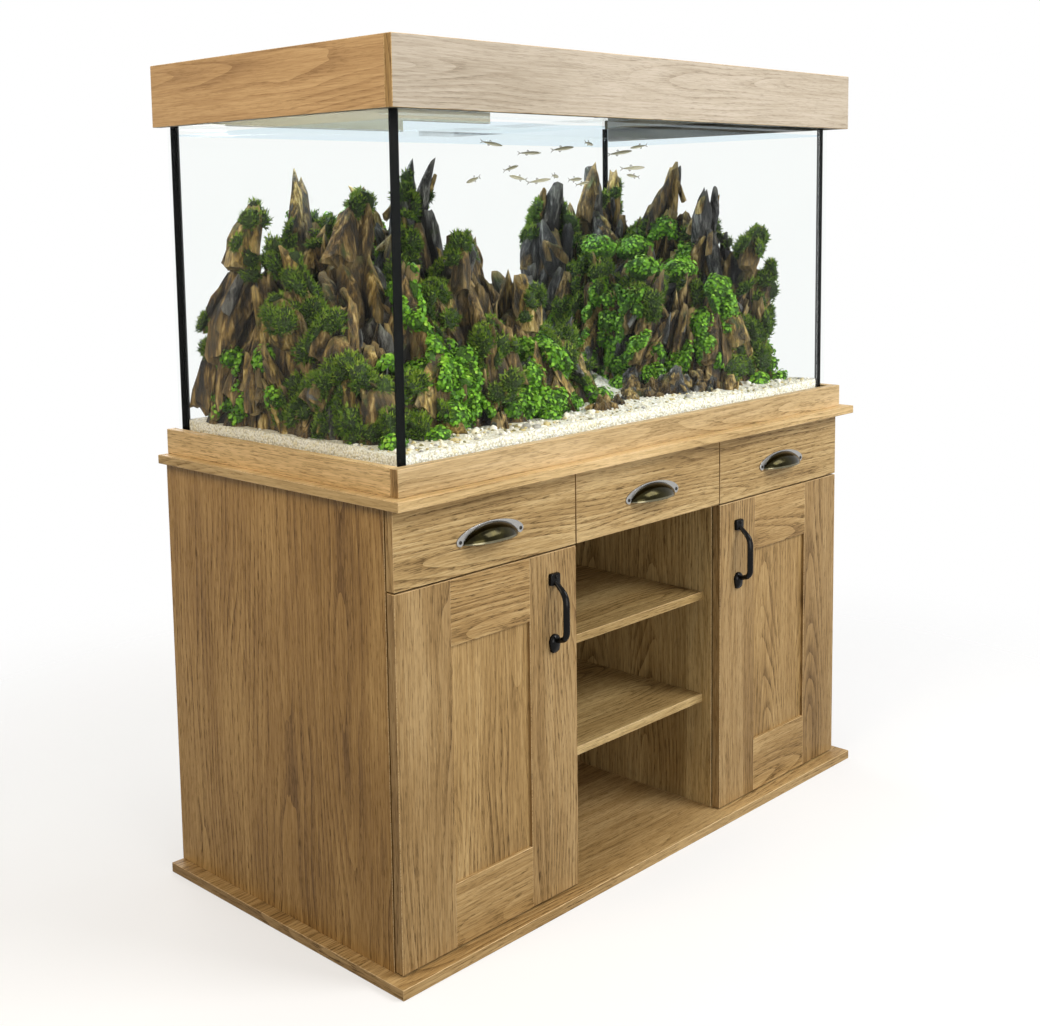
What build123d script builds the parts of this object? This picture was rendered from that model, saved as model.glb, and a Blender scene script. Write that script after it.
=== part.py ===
from build123d import *
import os
from math import asin, atan2, cos, pi, radians, sin, sqrt

# Planted aquarium on an oak-effect cabinet, under a matching hood. Sizes are in millimetres.
# The origin is the centre of the base board's underside. +X is to the right, the front faces -Y, +Z is up.
# Everything stands flush at the back, so depths are measured forward from the back plane.

# Glass tank
TANK_LENGTH = 1220.0
TANK_DEPTH = 610.0
TANK_HEIGHT = 610.0
GLASS = 10.0
SEAM = 1.5              # silicone film between two panes
BEAD = 8.0              # silicone fillet in each upright inner corner
MAT = 6.0
BRACE_WIDTH = 50.0
BRACE_BELOW_RIM = 22.0
CROSS_BRACE_WIDTH = 100.0

# Cabinet boards, each level stepped out or in from the one it carries
UPRIGHT_HEIGHT = 760.0
TRIM_BOARD = 18.0
TRIM_HEIGHT = 45.0
TRIM_SIDE_CLEARANCE = 9.0
TRIM_FRONT_CLEARANCE = 3.0
TOP_BOARD = 16.0
TOP_LEDGE_SIDE = 21.0   # beyond the trim
TOP_LEDGE_FRONT = 22.0
PANEL = 18.0
BACK_BOARD = 6.0
CARCASS_SETBACK = 17.0  # in from the top board's ends
BASE_BOARD = 18.0
BASE_STEP_SIDE = 25.0   # beyond the carcass
BASE_STEP_FRONT = 28.0  # beyond the faces of the fronts
HOSE_SLOT = 70.0        # open strip above the back of each cupboard
ARRIS = 0.8             # eased edge on every visible board

# Drawer and door fronts
FRONT_SETBACK = 33.0    # behind the top board's front edge
FRONT_BOARD = 18.0
FRONT_CLEARANCE = 3.0   # behind the fronts
REVEAL = 3.0            # between neighbouring fronts
DRAWER_FRONT_HEIGHT = 130.0

# Open bay shelves
SHELF_BOARD = 16.0
SHELF_SETBACK = 22.0
SHELF_CLEARANCE = 1.0
SHELF_HEIGHTS = (232.0, 443.0)  # from the base board to each shelf's top
SHELF_HOUSING = 7.0     # groove in each divider that a shelf's end sits in
SHELF_HOUSING_CLEARANCE = 0.2

# Drawer boxes on side runners
DRAWER_BOARD = 12.0
DRAWER_BASE = 6.0
DRAWER_BASE_RAISE = 6.0
DRAWER_BOX_HEIGHT = 85.0
DRAWER_BOX_LENGTH = 450.0
DRAWER_BOX_RAISE = 8.0  # above the dust board
RUNNER_SPACE = 12.7
RUNNER_HEIGHT = 35.0
RUNNER_STEEL = 1.2
RUNNER_GAP = 0.5
RUNNER_FLANGE = 8.0
RUNNER_SETBACK = 2.0    # behind the carcass front
RUNNER_STOP = 6.0       # channel left behind the drawer

# Shaker doors
STILE = 120.0
RAIL = 110.0
DOOR_PANEL = 9.0
DOOR_PANEL_RECESS = 6.0
GROOVE_DEPTH = 8.0
GROOVE_CLEARANCE = 0.1
GROOVE_END_GAP = 0.5

# Concealed cup hinges
CUP_RADIUS = 17.5
CUP_DEPTH = 12.0
CUP_WALL = 0.8
CUP_EDGE = 3.0          # from the door's outer edge to the cup
CUP_FIT = 0.1
CUP_FLANGE = 1.2
CUP_FLANGE_LIP = 0.7
CUP_FLANGE_LENGTH = 62.0
CUP_FLANGE_TAPER = 12.0
HINGE_FROM_END = 95.0   # from the door's top and bottom edges
PIN_DEPTH = 8.0         # behind the door's back face
DOOR_SWING_GAP = 0.37   # left to the end panel as the door's edge swings past
PIN_RADIUS = 1.2
PIN_CLEARANCE = 0.05
EYE_WALL = 1.05
STRAP = 2.0
STRAP_WIDTH = 8.0
STRAP_REACH = 20.0      # from the pin to the upright part of the strap
STRAP_BEND = 3.0
ARM_WIDTH = 14.0
ARM_THICK = 10.0
ARM_START = 4.0         # behind the carcass front
ARM_LENGTH = 58.0
PLATE_THICK = 4.0
PLATE_LENGTH = 36.0
PLATE_HEIGHT = 40.0
PLATE_START = 20.0

# Cup pulls on the drawers
PULL_SPAN = 156.0
PULL_RISE = 30.0
CUP_PULL_SPAN = 112.0
CUP_PULL_RISE = 26.5
PULL_WALL = 2.0
PULL_PLATE = 2.5
PULL_LIP_HEIGHT = 49.0  # above the drawer front's lower edge
PULL_END_RADIUS = 8.0
PULL_FLATS = 12         # along the dome's arch
PULL_TURNS = 6          # flats from the plate round to the lip

# Bow handles on the doors
HANDLE_LENGTH = 142.0
HANDLE_FROM_TOP = 37.0
HANDLE_REACH = 30.0     # door face to the bar's centre line
HANDLE_BAR = 12.0
HANDLE_PLATE = 4.0
HANDLE_PLATE_WIDTH = 26.0
HANDLE_TOP_PLATE = 28.0
HANDLE_SPADE = 34.0
HANDLE_TOP_DROP = 22.0
HANDLE_FOOT_RISE = 9.0
HANDLE_TOP_BEND = 24.0
HANDLE_FOOT_BEND = 12.0

# Hood
HOOD_HEIGHT = 108.0
HOOD_BOARD = 16.0
HOOD_SIDE_CLEARANCE = 14.0   # between the glass and the boards
HOOD_FRONT_CLEARANCE = 16.0
HOOD_OVERLAP = 28.0     # down over the glass rim
HOOD_RIM_CLEARANCE = 2.0
LID_DROP = 6.5          # lid top below the rim
LID_CLEARANCE = 2.0
LID_FINGER_GAP = 22.0   # along the lid's front edge
REAR_TOP_DEPTH = 158.0
LEDGE_STRIP = 16.0
REST_STRIP_WIDTH = 30.0
REST_STRIP_HEIGHT = 20.0
HOOD_CUT_OUT = 420.0    # cable gap in the back board, at its right end
HOOD_CUT_OUT_HEIGHT = 40.0

# Lid hinges
LEAF = 1.5
LEAF_WIDTH = 22.0
LEAF_LENGTH = 60.0
KNUCKLE_RADIUS = 3.0
KNUCKLE_COUNT = 3
KNUCKLE_GAP = 0.3
LID_PIN_RADIUS = 1.5
LID_PIN_CLEARANCE = 0.05
LID_HINGE_SPREAD = 420.0

# Light bars
LIGHT_WIDTH = 34.0
LIGHT_HEIGHT = 14.0
LIGHT_BEVEL = 3.0
LIGHT_SPACING = 70.0
LIGHT_DROP = 16.0       # from the rear top down to the bars
LIGHT_END_SPACE = 100.5  # from a bar's end to the hood's side
DIFFUSER_WIDTH = 26.0
DIFFUSER_THICK = 3.0
LIGHT_CAP = 8.0
LIGHT_CAP_LIP = 1.5
HANGER_LENGTH = 20.0
HANGER_WALL = 2.0
HANGER_LIP = 3.0
HANGER_CLEARANCE = 0.3
HANGER_SPREAD = 320.0

# Planting
GRAVEL = 42.0
GRAVEL_CLEARANCE = 0.3
LAYOUT_HALF_LENGTH = 600.0   # inside of the tank that the stones were laid out for
LAYOUT_DEPTH = 590.0
LAYOUT_HEIGHT = 610.0
CLUMP_SIDES = 8
ROCK_STEPS = ((0.0, 1.0, 0.0), (0.45, 0.95, 0.03), (0.8, 0.72, 0.14), (1.0, 0.28, 0.34))
CLIFF_STEPS = ((0.0, 1.0, 0.0), (0.6, 0.97, 0.02), (1.0, 0.88, 0.06))
BANK_FROM = 250.0
BANK_RISE = 170.0
BANK_LIP = 6.0
MEADOW_SHARE = 0.78
MEADOW_HEIGHT = 30.0
BANK_SPAN = (125.0, 240.0)
CUSHION_STEPS = ((0.0, 1.0, 0.0), (0.5, 0.84, 0.0), (0.85, 0.5, 0.0), (1.0, 0.18, 0.0))

# Lengths, heights and planes that follow from the sizes above
trim_half = TANK_LENGTH / 2 + TRIM_SIDE_CLEARANCE + TRIM_BOARD
top_half = trim_half + TOP_LEDGE_SIDE
top_depth = TANK_DEPTH + TRIM_FRONT_CLEARANCE + TRIM_BOARD + TOP_LEDGE_FRONT
carcass_half = top_half - CARCASS_SETBACK
front_reach = top_depth - FRONT_SETBACK
base_half = carcass_half + BASE_STEP_SIDE
base_depth = front_reach + BASE_STEP_FRONT

back_plane = base_depth / 2
front_face = back_plane - front_reach
front_back = front_face + FRONT_BOARD
carcass_front = front_back + FRONT_CLEARANCE
carcass_back = back_plane - BACK_BOARD
floor_top = BASE_BOARD
top_under = floor_top + UPRIGHT_HEIGHT
top_face = top_under + TOP_BOARD
tank_floor = top_face + MAT
tank_rim = tank_floor + TANK_HEIGHT
tank_front = back_plane - TANK_DEPTH
glass_inside_front = tank_front + GLASS
glass_inside_back = back_plane - GLASS
glass_inside_half = TANK_LENGTH / 2 - GLASS
gravel_top = tank_floor + GLASS + GRAVEL

column_pitch = (2 * carcass_half + REVEAL) / 3
column_width = column_pitch - REVEAL
bay_half = column_width / 2 + REVEAL
end_inside = carcass_half - PANEL
drawer_top = top_under - REVEAL
drawer_bottom = drawer_top - DRAWER_FRONT_HEIGHT
door_top = drawer_bottom - REVEAL
door_bottom = floor_top + REVEAL
dust_top = door_top + PANEL
shelf_front = carcass_front + SHELF_SETBACK
shelf_tops = [floor_top + height for height in SHELF_HEIGHTS]
pin_from_edge = sqrt((FRONT_CLEARANCE + PIN_DEPTH - DOOR_SWING_GAP) ** 2 - PIN_DEPTH**2)

hood_bottom = tank_rim - HOOD_OVERLAP
hood_top = hood_bottom + HOOD_HEIGHT
hood_inside_front = tank_front - HOOD_FRONT_CLEARANCE
hood_front = hood_inside_front - HOOD_BOARD
hood_inside_half = TANK_LENGTH / 2 + HOOD_SIDE_CLEARANCE
lid_top = hood_top - LID_DROP
lid_under = lid_top - HOOD_BOARD
hood_back_inside = back_plane - HOOD_BOARD
rear_top_front = hood_back_inside - REAR_TOP_DEPTH
light_half = hood_inside_half - LIGHT_END_SPACE

os.makedirs("parts", exist_ok=True)


def save(node, *pieces):
    """Write one node: a single solid, or a group of separate solids."""
    solids = [solid for piece in pieces for solid in piece.solids()]
    shape = solids[0] if len(solids) == 1 else Compound(solids)
    export_step(shape, f"parts/{node}.step")


def board(low, high, arris=0.0):
    """Flat board between two opposite corners, with its edges eased by arris."""
    low = Vector(*low)
    high = Vector(*high)
    size = high - low
    middle = (low + high) / 2
    blank = Pos(middle.X, middle.Y, middle.Z) * Box(size.X, size.Y, size.Z)
    return chamfer(blank.edges(), arris) if arris else blank


def stepped_solid(levels):
    """Closed solid through a stack of flat outlines, which may share corners of the same number."""
    faces = [Face(Wire.make_polygon(levels[0])), Face(Wire.make_polygon(levels[-1]))]
    for low, high in zip(levels, levels[1:]):
        for corner in range(len(low)):
            before = corner - 1
            corners = list(dict.fromkeys([low[before], low[corner], high[corner], high[before]]))
            if len(corners) > 2:
                faces.append(Face(Wire.make_polygon(corners)))
    return Solid(Shell(faces))


def mirrored(shape):
    """The same piece on the other side of the cabinet."""
    return mirror(shape, about=Plane.YZ)


def cabinet_boards():
    """Base, uprights, dust boards, backs, top and the upstand trim round the tank."""
    save("base_board", board((-base_half, -back_plane, 0), (base_half, back_plane, floor_top), ARRIS))

    end_panel = board(
        (-carcass_half, carcass_front, floor_top),
        (-end_inside, back_plane, top_under),
        ARRIS,
    )
    save("left_end_panel", end_panel)
    save("right_end_panel", mirrored(end_panel))

    divider = board(
        (-bay_half - PANEL, carcass_front, floor_top), (-bay_half, carcass_back, top_under), ARRIS
    )
    for top in shelf_tops:
        divider -= board(
            (-bay_half - SHELF_HOUSING, shelf_front, top - SHELF_BOARD),
            (-bay_half, carcass_back, top + SHELF_HOUSING_CLEARANCE),
        )
    save("left_divider", divider)
    save("right_divider", mirrored(divider))

    cupboard = (-end_inside, -bay_half - PANEL)
    bay = (-bay_half, bay_half)
    dust_boards = [
        board((x0, carcass_front, door_top), (x1, carcass_back, dust_top)) for x0, x1 in (cupboard, bay)
    ]
    save("dust_boards", *dust_boards, mirrored(dust_boards[0]))

    cupboard_back = board(
        (-end_inside, carcass_back, floor_top), (-bay_half - PANEL / 2, back_plane, door_top - HOSE_SLOT)
    )
    bay_back = board(
        (-bay_half - PANEL / 2, carcass_back, floor_top), (bay_half + PANEL / 2, back_plane, dust_top)
    )
    save("back_panels", cupboard_back, bay_back, mirrored(cupboard_back))

    save(
        "top_board",
        board((-top_half, back_plane - top_depth, top_under), (top_half, back_plane, top_face), ARRIS),
    )

    trim_inside = tank_front - TRIM_FRONT_CLEARANCE
    trim_top = top_face + TRIM_HEIGHT
    save(
        "front_trim",
        board((-trim_half, trim_inside - TRIM_BOARD, top_face), (trim_half, trim_inside, trim_top), ARRIS),
    )
    side_trim = board(
        (-trim_half, trim_inside, top_face), (TRIM_BOARD - trim_half, back_plane, trim_top), ARRIS
    )
    save("side_trims", side_trim, mirrored(side_trim))


def bay_shelves():
    """Two shelves in the open bay, their ends housed in the dividers."""
    half = bay_half + SHELF_HOUSING - SHELF_CLEARANCE
    shelves = [
        board((-half, shelf_front, top - SHELF_BOARD), (half, carcass_back - SHELF_CLEARANCE, top), ARRIS)
        for top in shelf_tops
    ]
    save("bay_shelves", *shelves)


def runner_profile(web, flange_end, half_height):
    """Steel channel section: an upright web and two flanges that stand towards flange_end."""
    side = 1 if flange_end > web else -1
    outline = Polyline(
        (web, -half_height),
        (flange_end, -half_height),
        (flange_end, -half_height + RUNNER_STEEL),
        (web + side * RUNNER_STEEL, -half_height + RUNNER_STEEL),
        (web + side * RUNNER_STEEL, half_height - RUNNER_STEEL),
        (flange_end, half_height - RUNNER_STEEL),
        (flange_end, half_height),
        (web, half_height),
        close=True,
    )
    return make_face(outline)


def runner(profile, x, side, y0, y1, z):
    """Channel section extruded from y0 back to y1, its web towards -X where side is 1."""
    bar = extrude(Plane.XZ * profile, amount=-(y1 - y0))
    if side < 0:
        bar = mirrored(bar)
    return Pos(x, y0, z) * bar


def drawers():
    """Three drawers: front, box, sliding rails and cup pull each, in channels on the uprights."""
    channel_profile = runner_profile(0, RUNNER_STEEL + RUNNER_FLANGE, RUNNER_HEIGHT / 2)
    rail_half = RUNNER_HEIGHT / 2 - RUNNER_STEEL - RUNNER_GAP
    rail_profile = runner_profile(RUNNER_SPACE, RUNNER_SPACE - RUNNER_STEEL - RUNNER_FLANGE, rail_half)
    box_bottom = dust_top + DRAWER_BOX_RAISE
    box_top = box_bottom + DRAWER_BOX_HEIGHT
    box_back = front_back + DRAWER_BOX_LENGTH
    runner_z = (box_bottom + box_top) / 2
    runner_front = carcass_front + RUNNER_SETBACK

    spaces = {
        "left": (-end_inside, -bay_half - PANEL),
        "centre": (-bay_half, bay_half),
        "right": (bay_half + PANEL, end_inside),
    }
    channels = []
    for column, (name, (space_left, space_right)) in zip((-1, 0, 1), spaces.items()):
        middle = column * column_pitch
        front = board(
            (middle - column_width / 2, front_face, drawer_bottom),
            (middle + column_width / 2, front_back, drawer_top),
            ARRIS,
        )
        save(f"{name}_drawer_front", front)

        x0 = space_left + RUNNER_SPACE
        x1 = space_right - RUNNER_SPACE
        inner_x0 = x0 + DRAWER_BOARD
        inner_x1 = x1 - DRAWER_BOARD
        base_bottom = box_bottom + DRAWER_BASE_RAISE
        save(
            f"{name}_drawer_box",
            board((x0, front_back, box_bottom), (inner_x0, box_back, box_top)),
            board((inner_x1, front_back, box_bottom), (x1, box_back, box_top)),
            board((inner_x0, box_back - DRAWER_BOARD, box_bottom), (inner_x1, box_back, box_top)),
            board(
                (inner_x0, front_back, base_bottom),
                (inner_x1, box_back - DRAWER_BOARD, base_bottom + DRAWER_BASE),
            ),
        )

        rails = []
        for x, side in ((space_left, 1), (space_right, -1)):
            rails.append(runner(rail_profile, x, side, runner_front, box_back, runner_z))
            channels.append(runner(channel_profile, x, side, runner_front, box_back + RUNNER_STOP, runner_z))
        save(f"{name}_drawer_rails", *rails)
        save(f"{name}_cup_pull", Pos(middle, front_face, drawer_bottom + PULL_LIP_HEIGHT) * cup_pull())
    save("runner_channels", *channels)


def flat_arch(half_span, rise):
    """Corners of a shallow arch, worked in equal flats from one foot to the other."""
    radius = (half_span**2 + rise**2) / (2 * rise)
    reach = asin(half_span / radius)
    turns = [reach * (2 * corner / PULL_FLATS - 1) for corner in range(PULL_FLATS + 1)]
    return [(radius * sin(turn), round(radius * cos(turn) - radius + rise, 6)) for turn in turns]


def cup_pull():
    """Half-dome shell open below, on a flat arched plate that widens to its two screwed ends.

    Local frame: the plate's back on y = 0, the dome's lip on z = 0.
    """
    outer = flat_arch(CUP_PULL_SPAN / 2, CUP_PULL_RISE)
    inner = flat_arch(CUP_PULL_SPAN / 2 - PULL_WALL, CUP_PULL_RISE - PULL_WALL)
    section = outer + inner[::-1]
    turns = [pi / 2 * step / PULL_TURNS for step in range(PULL_TURNS + 1)]
    dome = stepped_solid([[(x, -z * sin(turn), z * cos(turn)) for x, z in section] for turn in turns])

    end_x = PULL_SPAN / 2 - PULL_END_RADIUS
    end_fall = PULL_RISE - PULL_END_RADIUS
    arch_radius = (end_x**2 + end_fall**2 - PULL_END_RADIUS**2) / (2 * (end_fall - PULL_END_RADIUS))
    end_tilt = atan2(arch_radius - end_fall, end_x)
    round_tilt = (end_tilt - pi / 2) / 2
    tangent = Vector(end_x + PULL_END_RADIUS * cos(end_tilt), PULL_END_RADIUS * (1 + sin(end_tilt)))
    bulge = Vector(end_x + PULL_END_RADIUS * cos(round_tilt), PULL_END_RADIUS * (1 + sin(round_tilt)))
    plate = make_face(
        [
            ThreePointArc((-tangent.X, tangent.Y), (0, PULL_RISE), (tangent.X, tangent.Y)),
            ThreePointArc(tangent, bulge, (end_x, 0)),
            Line((end_x, 0), (-end_x, 0)),
            ThreePointArc((-end_x, 0), (-bulge.X, bulge.Y), (-tangent.X, tangent.Y)),
        ]
    )
    hollow = make_face(Polyline(*inner, close=True))
    arch = extrude(Plane.XZ * (plate - hollow), amount=PULL_PLATE)
    return dome + arch


def door_handle():
    """Forged bow handle: square plate above, pointed spade below, eight-sided bar bent between them.

    Local frame: plates on y = 0, standing towards -Y, the top plate's upper edge on z = 0.
    """
    half = HANDLE_PLATE_WIDTH / 2
    top_plate = Pos(0, -HANDLE_PLATE / 2, -HANDLE_TOP_PLATE / 2) * Box(
        HANDLE_PLATE_WIDTH, HANDLE_PLATE, HANDLE_TOP_PLATE
    )
    top_plate = chamfer(top_plate.faces().sort_by(Axis.Y)[0].edges(), HANDLE_PLATE / 2)

    spade_top = -HANDLE_LENGTH + HANDLE_SPADE
    shoulder = spade_top - half
    spade = make_face(
        [
            ThreePointArc((-half, shoulder), (0, spade_top), (half, shoulder)),
            Polyline((half, shoulder), (0, -HANDLE_LENGTH), (-half, shoulder)),
        ]
    )
    spade_plate = extrude(Plane.XZ * spade, amount=HANDLE_PLATE)

    top_foot = -HANDLE_TOP_PLATE / 2
    low_foot = shoulder
    route = FilletPolyline(
        (0, -HANDLE_PLATE / 2, top_foot),
        (0, -HANDLE_REACH, top_foot - HANDLE_TOP_DROP),
        (0, -HANDLE_REACH, low_foot + HANDLE_FOOT_RISE),
        (0, -HANDLE_PLATE / 2, low_foot),
        radius=[HANDLE_TOP_BEND, HANDLE_FOOT_BEND],
    )
    section = Plane(origin=route @ 0, x_dir=(1, 0, 0), z_dir=route % 0) * Rot(0, 0, 22.5)
    bar = sweep(section * RegularPolygon(HANDLE_BAR / 2, 8), path=route)
    in_front = board((-half, -2 * HANDLE_REACH, -HANDLE_LENGTH), (half, 0, 0))
    return (top_plate + spade_plate + bar) & in_front


def hinge_cup(pin_x, cup_x):
    """Pressed hinge cup with its tapered flange, and the pin that spans it.

    Local frame: the door's back face on y = 0 with the cup sunk towards -Y, z = 0 at mid height.
    """
    radius = CUP_RADIUS - CUP_FIT
    hollow_radius = radius - CUP_WALL
    facing = Plane.XZ
    blank = extrude(facing * Pos(cup_x, 0) * Circle(radius), amount=CUP_DEPTH)
    flange = Rectangle(2 * (CUP_RADIUS + CUP_FLANGE_LIP), CUP_FLANGE_LENGTH)
    flange = chamfer(flange.vertices(), CUP_FLANGE_TAPER)
    cup = blank + extrude(facing * Pos(cup_x, 0) * flange, amount=-CUP_FLANGE)
    hollow = facing * Pos(cup_x, 0) * Circle(hollow_radius)
    cup -= extrude(hollow, amount=CUP_DEPTH - CUP_WALL) + extrude(hollow, amount=-CUP_FLANGE)
    pin = Pos(pin_x, -PIN_DEPTH, 0) * Cylinder(PIN_RADIUS, 2 * CUP_RADIUS)
    return cup + (pin & blank)


def hinge_arm(pin_x, panel_face):
    """Cranked arm from its mounting plate on the end panel to the eye round the cup's pin.

    Local frame: the carcass front on y = 0, z = 0 at mid height.
    """
    pin_y = -FRONT_CLEARANCE - PIN_DEPTH
    eye_radius = PIN_RADIUS + PIN_CLEARANCE + EYE_WALL
    strap_y = pin_y - eye_radius + STRAP / 2
    arm_x0 = panel_face + PLATE_THICK
    upright_x = pin_x + STRAP_REACH
    route = FilletPolyline(
        (pin_x, strap_y), (upright_x, strap_y), (upright_x, ARM_START + STRAP), radius=STRAP_BEND
    )
    arm = extrude(trace(route, STRAP), amount=STRAP_WIDTH / 2, both=True)
    eye = Pos(pin_x, pin_y) * RegularPolygon(eye_radius, 8, major_radius=False)
    arm += extrude(eye, amount=STRAP_WIDTH / 2, both=True)
    arm -= Pos(pin_x, pin_y, 0) * Cylinder(PIN_RADIUS + PIN_CLEARANCE, STRAP_WIDTH)
    arm += board(
        (arm_x0, ARM_START, -ARM_WIDTH / 2), (arm_x0 + ARM_THICK, ARM_START + ARM_LENGTH, ARM_WIDTH / 2)
    )
    arm += board(
        (panel_face, PLATE_START, -PLATE_HEIGHT / 2), (arm_x0, PLATE_START + PLATE_LENGTH, PLATE_HEIGHT / 2)
    )
    return arm


def doors():
    """Two shaker doors hung on cup hinges at their outer edges, with a handle near the inner edge."""
    outer = -carcass_half
    inner = outer + column_width
    pin_x = outer + pin_from_edge
    cup_x = outer + CUP_EDGE + CUP_RADIUS
    hinge_heights = (door_bottom + HINGE_FROM_END, door_top - HINGE_FROM_END)

    panel_y0 = front_face + DOOR_PANEL_RECESS
    panel_y1 = panel_y0 + DOOR_PANEL
    opening = ((outer + STILE, door_bottom + RAIL), (inner - STILE, door_top - RAIL))
    tongue = GROOVE_DEPTH - GROOVE_END_GAP
    panel = board(
        (opening[0][0] - tongue, panel_y0, opening[0][1] - tongue),
        (opening[1][0] + tongue, panel_y1, opening[1][1] + tongue),
    )
    groove = board(
        (opening[0][0] - GROOVE_DEPTH, panel_y0 - GROOVE_CLEARANCE, opening[0][1] - GROOVE_DEPTH),
        (opening[1][0] + GROOVE_DEPTH, panel_y1 + GROOVE_CLEARANCE, opening[1][1] + GROOVE_DEPTH),
    )
    stile_left, stile_right, rail_low, rail_high = [
        board((x0, front_face, z0), (x1, front_back, z1), ARRIS) - groove
        for x0, x1, z0, z1 in (
            (outer, opening[0][0], door_bottom, door_top),
            (opening[1][0], inner, door_bottom, door_top),
            (opening[0][0], opening[1][0], door_bottom, opening[0][1]),
            (opening[0][0], opening[1][0], opening[1][1], door_top),
        )
    ]
    for z in hinge_heights:
        bore = extrude(Plane.XZ * Circle(CUP_RADIUS), amount=CUP_DEPTH)
        stile_left -= Pos(cup_x, front_back, z) * bore

    cups = [Pos(0, front_back, z) * hinge_cup(pin_x, cup_x) for z in hinge_heights]
    arms = [Pos(0, carcass_front, z) * hinge_arm(pin_x, -end_inside) for z in hinge_heights]
    handle = Pos(inner - STILE / 2, front_face, door_top - HANDLE_FROM_TOP) * door_handle()

    frame = [stile_left, stile_right, rail_low, rail_high]
    save("left_door_frame", *frame)
    save("left_door_panel", panel)
    save("left_hinge_cups", *cups)
    save("left_door_handle", handle)
    save("right_door_frame", *[mirrored(piece) for piece in frame])
    save("right_door_panel", mirrored(panel))
    save("right_hinge_cups", *[mirrored(cup) for cup in cups])
    save("right_door_handle", mirrored(handle))
    save("hinge_arms", *arms, *[mirrored(arm) for arm in arms])


def tank():
    """Five panes, black silicone in the joints, glass braces under the rim and a foam mat below."""
    half = TANK_LENGTH / 2
    save("foam_mat", board((-half, tank_front, top_face), (half, back_plane, tank_floor)))
    floor = tank_floor + GLASS
    wall_foot = floor + SEAM
    save("base_glass", board((-half, tank_front, tank_floor), (half, back_plane, floor)))
    save("front_glass", board((-half, tank_front, wall_foot), (half, glass_inside_front, tank_rim)))
    save("back_glass", board((-half, glass_inside_back, wall_foot), (half, back_plane, tank_rim)))
    side_front = glass_inside_front + SEAM
    side_back = glass_inside_back - SEAM
    side = board((-half, side_front, wall_foot), (-glass_inside_half, side_back, tank_rim))
    save("left_glass", side)
    save("right_glass", mirrored(side))

    corner = make_face(
        Polyline(
            (-half, glass_inside_front),
            (-glass_inside_half + BEAD, glass_inside_front),
            (-glass_inside_half, glass_inside_front + BEAD),
            (-glass_inside_half, side_front),
            (-half, side_front),
            close=True,
        )
    )
    front_left = extrude(Pos(0, 0, wall_foot) * corner, amount=tank_rim - wall_foot)
    middle = (glass_inside_front + glass_inside_back) / 2
    back_left = mirror(front_left, about=Plane.XZ.offset(-middle))
    uprights = [front_left, back_left, mirrored(front_left), mirrored(back_left)]
    side_foot = board((-half, glass_inside_front, floor), (-glass_inside_half, glass_inside_back, wall_foot))
    feet = [
        board((-half, tank_front, floor), (half, glass_inside_front, wall_foot)),
        board((-half, glass_inside_back, floor), (half, back_plane, wall_foot)),
        side_foot,
        mirrored(side_foot),
    ]
    save("silicone_joints", *uprights, *feet)

    brace_top = tank_rim - BRACE_BELOW_RIM
    brace_low = brace_top - GLASS
    brace_half = glass_inside_half - BEAD
    front_brace_back = glass_inside_front + BRACE_WIDTH
    back_brace_front = glass_inside_back - BRACE_WIDTH
    save(
        "glass_braces",
        board((-brace_half, glass_inside_front, brace_low), (brace_half, front_brace_back, brace_top)),
        board((-brace_half, back_brace_front, brace_low), (brace_half, glass_inside_back, brace_top)),
        board(
            (-CROSS_BRACE_WIDTH / 2, front_brace_back, brace_low),
            (CROSS_BRACE_WIDTH / 2, back_brace_front, brace_top),
        ),
    )


def clump(x, y, wide, deep, height, shape, steps, lift=0.0):
    """Stone or plant cushion on the gravel or lifted onto a stone: an outline that narrows upwards.

    The place is measured from the middle of the tank's inside front. Each step gives a level's share of
    the height, its scale and how far it leans. Every level stays inside the outline of the foot, so
    clumps that stand apart stay apart. All follow the inside of the tank.
    """
    length_scale = glass_inside_half / LAYOUT_HALF_LENGTH
    depth_scale = (glass_inside_back - glass_inside_front) / LAYOUT_DEPTH
    height_scale = TANK_HEIGHT / LAYOUT_HEIGHT
    lean = radians(97.0 * shape)
    levels = []
    for share, scale, shift in steps:
        level = []
        for side in range(CLUMP_SIDES):
            angle = 2 * pi * side / CLUMP_SIDES + 0.6 * shape
            swell = scale * (0.86 + 0.14 * sin(2.3 * side + 1.9 * shape))
            across = wide / 2 * (swell * cos(angle) + shift * cos(lean))
            along = deep / 2 * (swell * sin(angle) + shift * sin(lean))
            level.append(
                (
                    length_scale * (x + across),
                    glass_inside_front + depth_scale * (y + along),
                    gravel_top + height_scale * (lift + share * height),
                )
            )
        levels.append(level)
    return stepped_solid(levels)


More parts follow.
